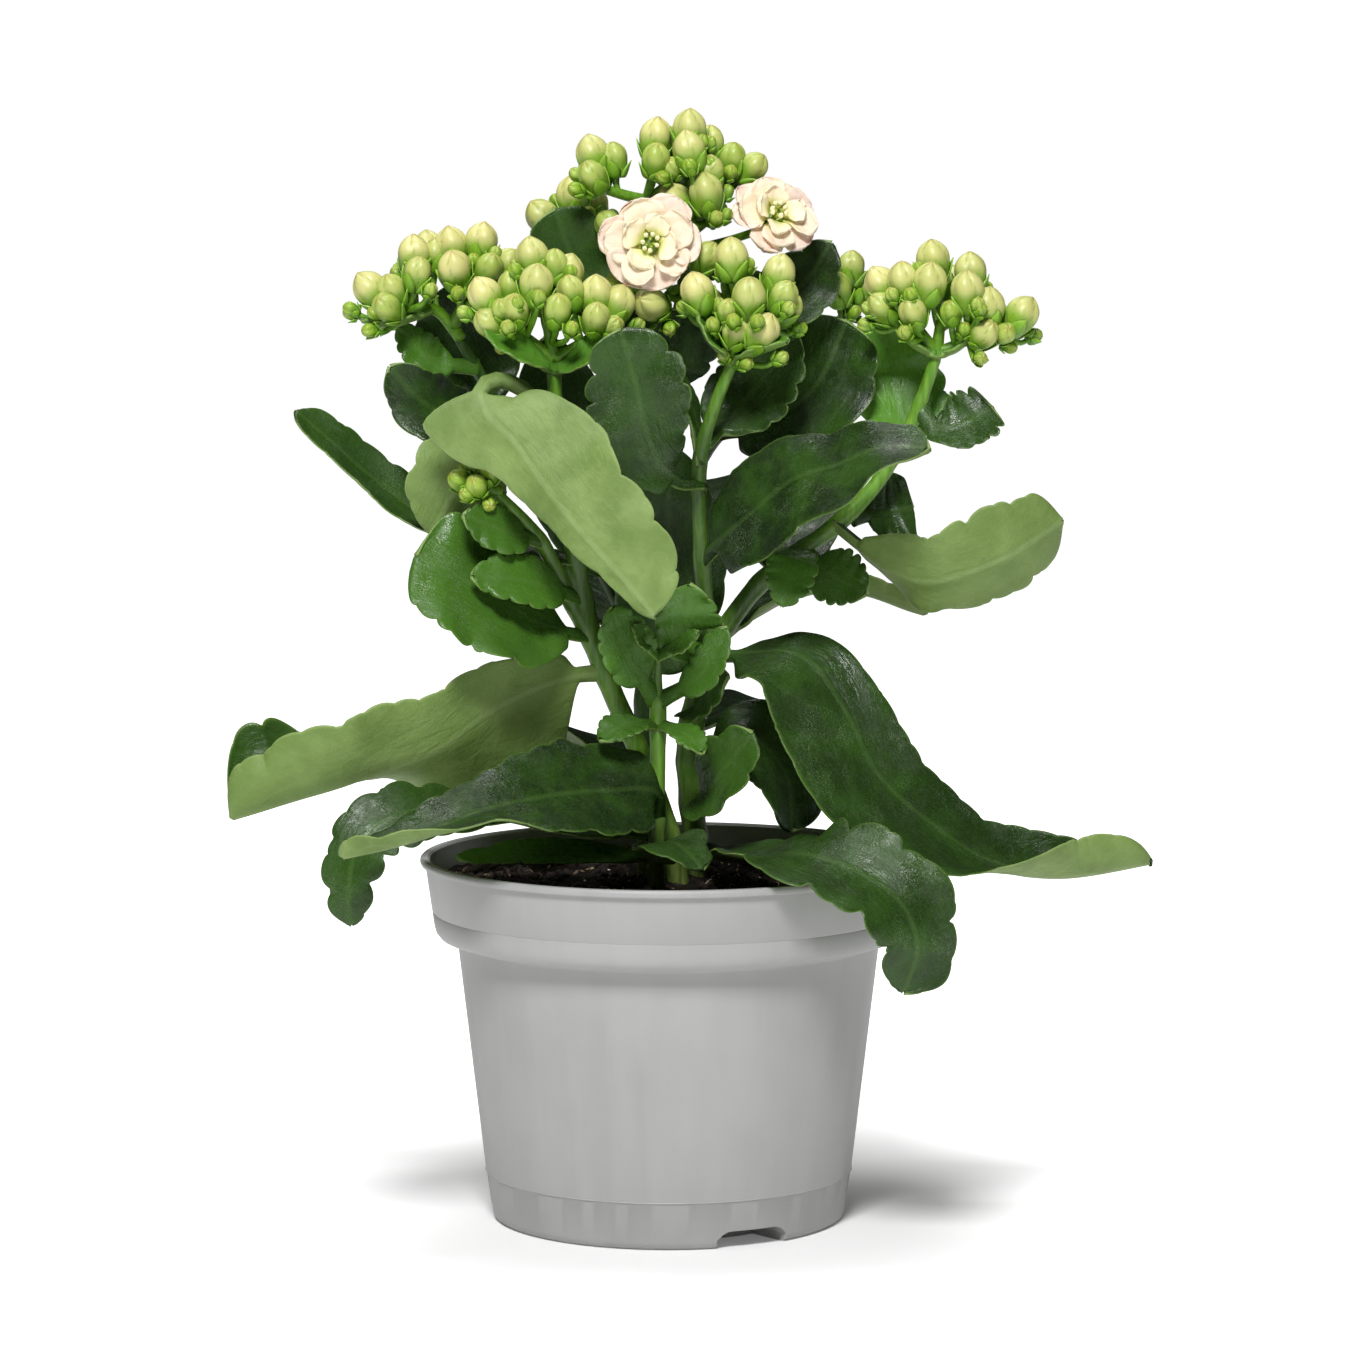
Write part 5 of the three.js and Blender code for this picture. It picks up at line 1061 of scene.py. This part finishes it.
class Look:
    """A material with one shader, and short ways to add the nodes that feed it."""

    def __init__(self, name, **fixed):
        self.material = bpy.data.materials.new(name)
        self.material.use_nodes = True
        self.tree = self.material.node_tree
        self.shader = self.tree.nodes["Principled BSDF"]
        for socket, value in fixed.items():
            self.shader.inputs[socket.replace("_", " ")].default_value = value

    def add(self, kind, inputs, out=0, **settings):
        """A new node's output. Its inputs are other outputs, numbers, vectors or colours as #rrggbb."""
        node = self.tree.nodes.new("ShaderNode" + kind)
        for key, value in settings.items():
            setattr(node, key, value)
        for key, value in inputs.items():
            if isinstance(value, bpy.types.NodeSocket):
                self.tree.links.new(value, node.inputs[key])
            else:
                node.inputs[key].default_value = colour(value) if isinstance(value, str) else value
        return node.outputs[out]

    def feed(self, socket, value):
        self.tree.links.new(value, self.shader.inputs[socket])

    def place(self):
        return self.add("TexCoord", {}, "Object")

    def scaled(self, vector, scale):
        return self.add("Mapping", {"Vector": vector, "Scale": scale})

    def mark(self, name):
        """A mark's vector, and its three numbers as separate sockets."""
        vector = self.add("Attribute", {}, "Vector", attribute_name=name)
        node = self.tree.nodes.new("ShaderNodeSeparateXYZ")
        self.tree.links.new(vector, node.inputs[0])
        return vector, *node.outputs

    def math(self, operation, a, b=0.0, c=0.0):
        return self.add("Math", {0: a, 1: b, 2: c}, operation=operation)

    def noise(self, scale, detail=3.0, rough=0.5, vector=None, distortion=0.0):
        inputs = {"Scale": scale, "Detail": detail, "Roughness": rough, "Distortion": distortion}
        return self.add("TexNoise", {**inputs, "Vector": vector or self.place()}, "Fac")

    def step(self, value, low, high, to_low=0.0, to_high=1.0):
        inputs = {"Value": value, "From Min": low, "From Max": high, "To Min": to_low, "To Max": to_high}
        return self.add("MapRange", inputs, interpolation_type="SMOOTHSTEP")

    def mix(self, share, a, b):
        return self.add("Mix", {0: share, 6: a, 7: b}, 2, data_type="RGBA")

    def bump(self, height, strength, distance, normal=None):
        inputs = {"Height": height, "Strength": strength, "Distance": distance * MM}
        if normal:
            inputs["Normal"] = normal
        return self.add("Bump", inputs)


def leaf_look():
    """Dark above and paler below, with veins, a bright rim, pale specks with patches of painted sheen among
    them, and a rumpled skin.
    """
    look = Look("leaf", IOR=1.45, Specular_IOR_Level=0.36, Subsurface_Weight=0.05, Subsurface_Scale=0.001)
    look.shader.inputs["Subsurface Radius"].default_value = (0.6, 1.0, 0.3)
    form, along, across, edge = look.mark("leaf")
    _, under, tone, youth = look.mark("skin")
    reach = look.math("ABSOLUTE", across)
    patches = look.noise(90, 3, 0.6)
    specks = look.noise(3200, 2, 0.6)

    upper = look.mix(look.step(patches, 0.35, 0.7), "#14260a", "#2a4813")
    upper = look.mix(look.step(tone, -1, 1, 0, 0.5), upper, "#34551a")
    upper = look.mix(youth, upper, "#568a26")
    # Painted sheen: in these noise patches the pale grey specks are made stronger, standing for the satin
    # shine of the leaf. Outside them they stay faint, as the leaf's own specks.
    sheen = look.step(look.noise(70, 4, 0.65), 0.5, 0.68)
    overlay_share = look.math("MULTIPLY_ADD", sheen, 0.2, 0.05)
    upper = look.mix(look.math("MULTIPLY", look.step(specks, 0.5, 0.62), overlay_share), upper, "#9aa88f")
    lower = look.mix(look.step(patches, 0.3, 0.75), "#647d3c", "#7f9755")
    lower = look.mix(look.step(tone, -1, 1, 0, 0.35), lower, "#657f3e")
    lower = look.mix(look.math("MULTIPLY", youth, 0.5), lower, "#67932f")
    lower = look.mix(look.step(specks, 0.5, 0.75, 0, 0.12), lower, "#a9ba86")

    slant = look.math("SUBTRACT", along, look.math("MULTIPLY", reach, 1.15))
    wander = look.math("MULTIPLY", look.noise(140, 2), 4.0)
    lane = look.math("PINGPONG", look.math("ADD", slant, wander), 4.2)
    veins = look.step(lane, 0.0, 0.5, 1, 0)
    rib = look.step(reach, 0.2, 1.1, 1, 0)
    lines = look.math("MAXIMUM", look.math("MULTIPLY", veins, 0.22), rib)
    upper = look.mix(look.math("MULTIPLY", lines, 0.2), upper, "#56763a")
    lower = look.mix(look.math("MULTIPLY", lines, 0.14), lower, "#b3c490")
    rim = look.step(edge, 0.95, 1.0)
    upper = look.mix(look.math("MULTIPLY", rim, 0.45), upper, "#5f8030")
    lower = look.mix(look.math("MULTIPLY", rim, 0.35), lower, "#a5b97a")
    side = look.step(under, 0.35, 0.65)
    look.feed("Base Color", look.mix(side, upper, lower))

    gloss = look.step(look.noise(130, 5, 0.7), 0.36, 0.64, 0.22, 0.5)
    look.feed("Roughness", look.add("Mix", {0: side, 2: gloss, 3: 0.55}))
    stretched = look.scaled(form, (0.06, 0.2, 0.0))
    wrinkles = look.noise(2.2, 4, 0.6, stretched, 0.8)
    quilt = look.noise(180, 4, 0.65)
    normal = look.bump(wrinkles, 0.35, 1.1)
    normal = look.bump(quilt, 0.5, 0.7, normal)
    normal = look.bump(specks, 0.35, 0.12, normal)
    normal = look.bump(lines, 0.25, 0.2, normal)
    look.feed("Normal", normal)
    return look.material


def stem_look(name, dark, pale):
    """A streaked green, browner just over the peat, with painted shade darkening it in the middle of the
    plant.
    """
    look = Look(name, Roughness=0.42, Subsurface_Weight=0.08, Subsurface_Scale=0.001)
    place = look.place()
    height = look.add("SeparateXYZ", {0: place}, 2)
    streaks = look.noise(1.0, 4, 0.6, look.scaled(place, (900, 900, 60)))
    green = look.mix(look.step(streaks, 0.35, 0.7), dark, pale)
    old = look.mix(look.step(streaks, 0.3, 0.7), "#3b4c1a", "#66763a")
    # Painted shade: near SHADED_PLACE the green is darkened towards #1c3010, which stands in for the shadow
    # inside the plant.
    middle = look.add("VectorMath", {0: place, 1: SHADED_PLACE}, "Value", operation="DISTANCE")
    green = look.mix(look.step(middle, 0.02, 0.05, 0.65, 0), green, "#1c3010")
    look.feed("Base Color", look.mix(look.step(height, 0.082, 0.112), old, green))
    look.feed("Normal", look.bump(streaks, 0.25, 0.25))
    return look.material


def bud_look():
    """The colours of petals, sepals and flower stalks, paler where a bud is ripe."""
    look = Look("bud", Roughness=0.42, Subsurface_Weight=0.15, Subsurface_Scale=0.0015)
    look.shader.inputs["Subsurface Radius"].default_value = (1.0, 0.9, 0.4)
    _, share, part, ripe = look.mark("bud")
    _, seam, tone, _ = look.mark("grain")
    mottle = look.noise(700, 3, 0.6)
    tip = look.mix(ripe, "#8fae35", "#d2cd86")
    base = look.mix(ripe, "#5f8c1a", "#7aa226")
    petals = look.mix(look.step(look.math("MULTIPLY_ADD", mottle, 0.16, share), 0.42, 0.8), base, tip)
    petals = look.mix(look.step(seam, 0.0, 0.32, 0.5, 0.0), petals, "#6c8d22")
    petals = look.mix(look.step(share, 0.9, 1.0, 0, 0.35), petals, "#b9a04e")
    sepal = look.mix(look.step(share, 0.0, 1.0), "#5c9113", "#86b42c")
    sepal = look.mix(look.step(seam, 0.0, 0.35, 0.4, 0.0), sepal, "#a6c862")
    stalk = look.mix(look.step(mottle, 0.35, 0.65), "#4f8013", "#6c9a26")
    mixed = look.mix(look.step(part, 0.2, 0.8), petals, sepal)
    mixed = look.mix(look.step(part, 1.2, 1.8), mixed, stalk)
    mixed = look.mix(look.step(tone, -1, 1, 0, 0.22), mixed, "#739b22")
    look.feed("Base Color", mixed)
    look.feed("Normal", look.bump(seam, 0.6, 0.5, look.bump(look.noise(1200, 3, 0.6), 0.2, 0.15)))
    return look.material


def petal_look():
    """Cream petals with a pink blush in blotches and a greenish throat."""
    look = Look("petal", Roughness=0.55, Subsurface_Weight=0.3, Subsurface_Scale=0.002)
    look.shader.inputs["Subsurface Radius"].default_value = (1.0, 0.75, 0.5)
    form, share, _, depth = look.mark("petal")
    _, tint, _, _ = look.mark("tint")
    blotch = look.noise(330, 4, 0.65)
    cream = look.mix(depth, "#f8dfc9", "#faebc2")
    pink = look.math("MULTIPLY", look.step(blotch, 0.45, 0.72), look.step(share, 0.35, 1.0))
    pink = look.math("MULTIPLY", pink, look.step(depth, 0.0, 0.9, 0.85, 0.12))
    blushed = look.mix(pink, cream, "#efb3a6")
    blushed = look.mix(look.math("MULTIPLY", tint, 0.25), blushed, "#f7d3c2")
    throat = look.step(look.math("MULTIPLY_ADD", depth, -0.18, share), -0.1, 0.42, 1, 0)
    look.feed("Base Color", look.mix(throat, blushed, "#c9cf62"))
    lines = look.noise(5.0, 3, 0.6, look.scaled(form, (0.5, 9.0, 0.0)))
    look.feed("Normal", look.bump(look.noise(500, 3, 0.6), 0.25, 0.3, look.bump(lines, 0.35, 0.25)))
    return look.material


def heart_look():
    """The green bottom and pistils of a bloom, and the pale tips of its stamens."""
    look = Look("heart", Roughness=0.5, Subsurface_Weight=0.15, Subsurface_Scale=0.001)
    _, share, stamen, grown = look.mark("heart")
    green = look.mix(share, "#7d9f2e", "#b9c552")
    white = look.mix(look.step(share, 0.45, 0.7), "#dfe3a0", "#f2ecc0")
    look.feed("Base Color", look.mix(grown, "#5f7f1e", look.mix(stamen, green, white)))
    look.feed("Normal", look.bump(look.noise(1800, 2, 0.5), 0.3, 0.1))
    return look.material


def pot_look():
    """Grey moulded plastic, darker brown on the inner face of its collar, most just above the peat."""
    look = Look("pot", IOR=1.45)
    place = look.place()
    grain = look.noise(5200, 2, 0.6)
    flow = look.noise(1.0, 3, 0.6, look.scaled(place, (110, 110, 10)))
    haze = look.noise(26, 3, 0.55)
    scuffs = look.noise(1.0, 5, 0.7, look.scaled(place, (300, 300, 900)))
    grey = look.mix(look.step(flow, 0.3, 0.7), "#9e9e9d", "#a4a4a3")
    grey = look.mix(look.step(haze, 0.35, 0.7, 0, 0.5), grey, "#acacab")
    grey = look.mix(look.step(scuffs, 0.68, 0.82, 0, 0.2), grey, "#7d7e7f")
    radius = look.add("VectorMath", {0: look.scaled(place, (1, 1, 0))}, "Value", operation="LENGTH")
    height = look.add("SeparateXYZ", {0: place}, 2)
    inward = look.math("MULTIPLY_ADD", height, -POT_TAPER, radius)
    # The inner face of the collar is darkened towards a dark brown, most just above the peat and fading
    # upwards.
    overlay_share = look.math("MULTIPLY", look.step(inward, 0.0495, 0.0497, 1, 0), look.step(height, 0.0725, 0.073))
    overlay_share = look.math("MULTIPLY", overlay_share, look.step(height, 0.0775, 0.0865, 0.9, 0.2))
    look.feed("Base Color", look.mix(overlay_share, grey, "#1c1611"))
    look.feed("Roughness", look.step(flow, 0.25, 0.75, 0.4, 0.52))
    normal = look.bump(flow, 0.05, 0.4)
    look.feed("Normal", look.bump(grain, 0.22, 0.06, normal))
    return look.material


def peat_look():
    look = Look("peat", Roughness=0.95, Specular_IOR_Level=0.2)
    clods = look.noise(320, 6, 0.7)
    grit = look.noise(1500, 4, 0.7)
    dark = look.mix(look.step(clods, 0.35, 0.7), "#0d0907", "#261b13")
    dark = look.mix(look.step(grit, 0.66, 0.78, 0, 0.7), dark, "#4d3d2e")
    look.feed("Base Color", dark)
    normal = look.bump(clods, 1.0, 2.0)
    look.feed("Normal", look.bump(grit, 0.9, 0.7, normal))
    return look.material


def crumb_look(name, dark, pale, rough):
    look = Look(name, Roughness=rough)
    _, shade, _, _ = look.mark("crumb")
    grit = look.noise(1800, 3, 0.6)
    look.feed("Base Color", look.mix(look.math("MULTIPLY_ADD", grit, 0.4, shade), dark, pale))
    look.feed("Normal", look.bump(grit, 0.8, 0.4))
    return look.material


# ---- the plant ----
def build_leaves(material):
    for number, (name, spec) in enumerate(LEAVES.items()):
        shape = Shape()
        leaf(shape, spec, np.random.default_rng(SEEDS["leaves"] + number))
        node = "leaf_" + name
        piece(node + "_blade", shape.mesh(node), material, [node])


def small_leaves(name, rows, usual, seed, youth):
    """A mesh of small leaves of one kind, each younger or older within youth."""
    shape = Shape()
    for k, spec in enumerate(rows):
        rng = np.random.default_rng(seed + k)
        leaf(shape, {**usual, **spec, "youth": rng.uniform(*youth)}, rng, half_around=12)
    return shape.mesh(name)


def build_small_leaves(material):
    for number, (name, rows) in enumerate(LEAFLETS.items()):
        mesh = small_leaves("leaflets", rows, LEAFLET, SEEDS["leaflets"] + 10 * number, (0.25, 0.6))
        piece(f"leaflets_{name}", mesh, material, ["stem_" + name])
    for number, (name, spec) in enumerate(HEADS.items()):
        if "bracts" in spec:
            mesh = small_leaves("bracts", spec["bracts"], BRACT, SEEDS["bracts"] + 10 * number, (0.7, 0.95))
            piece(f"bracts_{name}", mesh, material, ["buds_" + name])


def build_stems(material, shaded):
    """The stems, their branches melted into one skin by a fine voxel mesh."""
    for name, branches in STEMS.items():
        grown = [spec for spec in LEAVES.values() if spec["on"] == name] + LEAFLETS.get(name, [])
        joints = [np.array(spec["rib"][0], float) for spec in grown]
        mesh = reworked(
            shown("raw_" + name, stem_shape(branches, joints).mesh("raw_" + name)),
            ("REMESH", {"mode": "VOXEL", "voxel_size": STEM_VOXEL * MM}),
            ("SMOOTH", {"factor": 0.5, "iterations": 6}),
        )
        # The back stem gets the darker copy of the stem look, as painted shade.
        look = shaded if name == "back" else material
        piece(f"stem_{name}_skin", mesh, look, ["stem_" + name])


def build_heads(material):
    for number, (name, spec) in enumerate(HEADS.items()):
        shape = Shape()
        head(shape, spec, np.random.default_rng(SEEDS["heads"] + number))
        piece(f"buds_{name}_skin", shape.mesh("buds_" + name), material, ["buds_" + name])


def build_blooms(bud_material, petal_material, heart_material):
    for number, (name, spec) in enumerate(BLOOMS.items()):
        rng = np.random.default_rng(SEEDS["blooms"] + number)
        face = unit(np.array(spec["face"], float))
        side = unit(np.cross(np.array([1, 0, 0.2]), face))
        bloom = {**spec, "face": face, "centre": np.array(spec["stalk"][-1]) + 3 * face,
                 "axes": (side, np.cross(face, side))}
        for part, build, material, slot in (
            ("petals", bloom_petals, petal_material, "petal"),
            ("heart", bloom_heart, heart_material, "heart"),
            ("stalk", bloom_stalk, bud_material, "stem"),
        ):
            shape = Shape()
            build(shape, bloom, rng)
            node = f"bloom_{name}_{part}"
            piece(node + "_skin", shape.mesh(node), material, [node])


def build_pot_and_soil(pot_material):
    piece("pot_skin", pot_mesh(), pot_material, ["pot"])
    rng = np.random.default_rng(SEEDS["peat"])
    ground = ground_of(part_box("soil")[1].z / MM, rng)
    piece("soil_peat", soil_mesh(ground), peat_look(), ["soil"])
    for name, bits in BITS.items():
        shape = Shape()
        crumbs(shape, ground, rng, bits["count"], bits["sizes"], bits["long"])
        piece(name, shape.mesh(name), crumb_look(name, *bits["look"]), ["soil"])
    shape = Shape()
    fibres(shape, ground, rng, FIBRES)
    look = crumb_look("fibre", "#3f3020", "#a8977a", 0.8)
    piece("soil_fibres", shape.mesh("soil_fibres"), look, ["soil"])


# ---- studio ----
SKY_LIGHT = 0.04  # how much the white surroundings light the plant
FLOOR_REACH = 6.0
FLOOR_GLOW = {"near": 0.05, "far": 0.17, "dim": 0.1, "bright": 1.0}  # two distances, and the glow at each
FLOOR_LIGHT = 0.35  # the share of the glow that lights the plant
LIGHT_TARGET = (0, 0, 0.15)
LIGHTS = {
    "key": {"at": (-0.12, -0.95, 1.15), "size": 0.35, "watts": 20.5},
    "top": {"at": (-0.15, 0.25, 1.3), "size": 0.5, "watts": 6},
}


def studio_floor():
    """A white floor that glows, less so near the pot, and that lights the plant less than it shows."""
    mesh = bpy.data.meshes.new("floor")
    corners = [(x * FLOOR_REACH, y * FLOOR_REACH, 0) for x, y in ((-1, -1), (1, -1), (1, 1), (-1, 1))]
    mesh.from_pydata(corners, [], [(0, 1, 2, 3)])
    look = Look("floor", Roughness=0.9, Specular_IOR_Level=0.1)
    look.shader.inputs["Base Color"].default_value = (0.9, 0.9, 0.9, 1)
    look.shader.inputs["Emission Color"].default_value = (1, 1, 1, 1)
    distance = look.add("VectorMath", {0: look.place()}, "Value", operation="LENGTH")
    seen = look.step(distance, *(FLOOR_GLOW[key] for key in ("near", "far", "dim", "bright")))
    rays = look.add("LightPath", {}, "Is Camera Ray")
    look.feed("Emission Strength", look.math("MULTIPLY", seen, look.step(rays, 0, 1, FLOOR_LIGHT, 1)))
    mesh.materials.append(look.material)
    floor = shown("floor", mesh)


def area_light(name, at, size, watts):
    """A square light that faces the plant."""
    light = bpy.data.lights.new(name, "AREA")
    light.size = size
    light.energy = watts
    obj = shown(name, light)
    obj.location = at
    away = np.array(at, float) - np.array(LIGHT_TARGET, float)
    flat = math.hypot(away[0], away[1])
    obj.rotation_euler = (math.atan2(flat, away[2]), 0, math.atan2(away[1], away[0]) + math.pi / 2)


def studio_light():
    world = bpy.data.worlds.new("studio")
    world.use_nodes = True
    tree = world.node_tree
    background = tree.nodes["Background"]
    background.inputs["Color"].default_value = (1, 1, 1, 1)
    rays = tree.nodes.new("ShaderNodeLightPath")
    strength = tree.nodes.new("ShaderNodeMapRange")
    strength.inputs["To Min"].default_value = SKY_LIGHT
    strength.inputs["To Max"].default_value = 1.0
    tree.links.new(rays.outputs["Is Camera Ray"], strength.inputs["Value"])
    tree.links.new(strength.outputs[0], background.inputs["Strength"])
    bpy.context.scene.world = world
    for name, light in LIGHTS.items():
        area_light(name, light["at"], light["size"], light["watts"])


def photo_camera():
    camera = bpy.data.cameras.new("photo")
    camera.sensor_width = SENSOR
    camera.lens = FOCAL / IMAGE * SENSOR
    camera.clip_start, camera.clip_end = 0.05, 40
    obj = shown("photo", camera)
    obj.location = [c * MM for c in CAMERA_AT]
    obj.rotation_euler = (math.radians(90 - CAMERA_PITCH), 0, 0)
    bpy.context.scene.camera = obj


leaf_material, bud_material = leaf_look(), bud_look()
build_pot_and_soil(pot_look())
# stem_shaded is the stem look in darker greens, a painted-shade copy for the back stem.
build_stems(stem_look("stem", "#54851d", "#76a238"), stem_look("stem_shaded", "#2c4a14", "#3f6420"))
build_leaves(leaf_material)
build_small_leaves(leaf_material)
build_heads(bud_material)
build_blooms(bud_material, petal_look(), heart_look())
studio_floor()
studio_light()
photo_camera()
bpy.context.scene.view_settings.view_transform = "Standard"
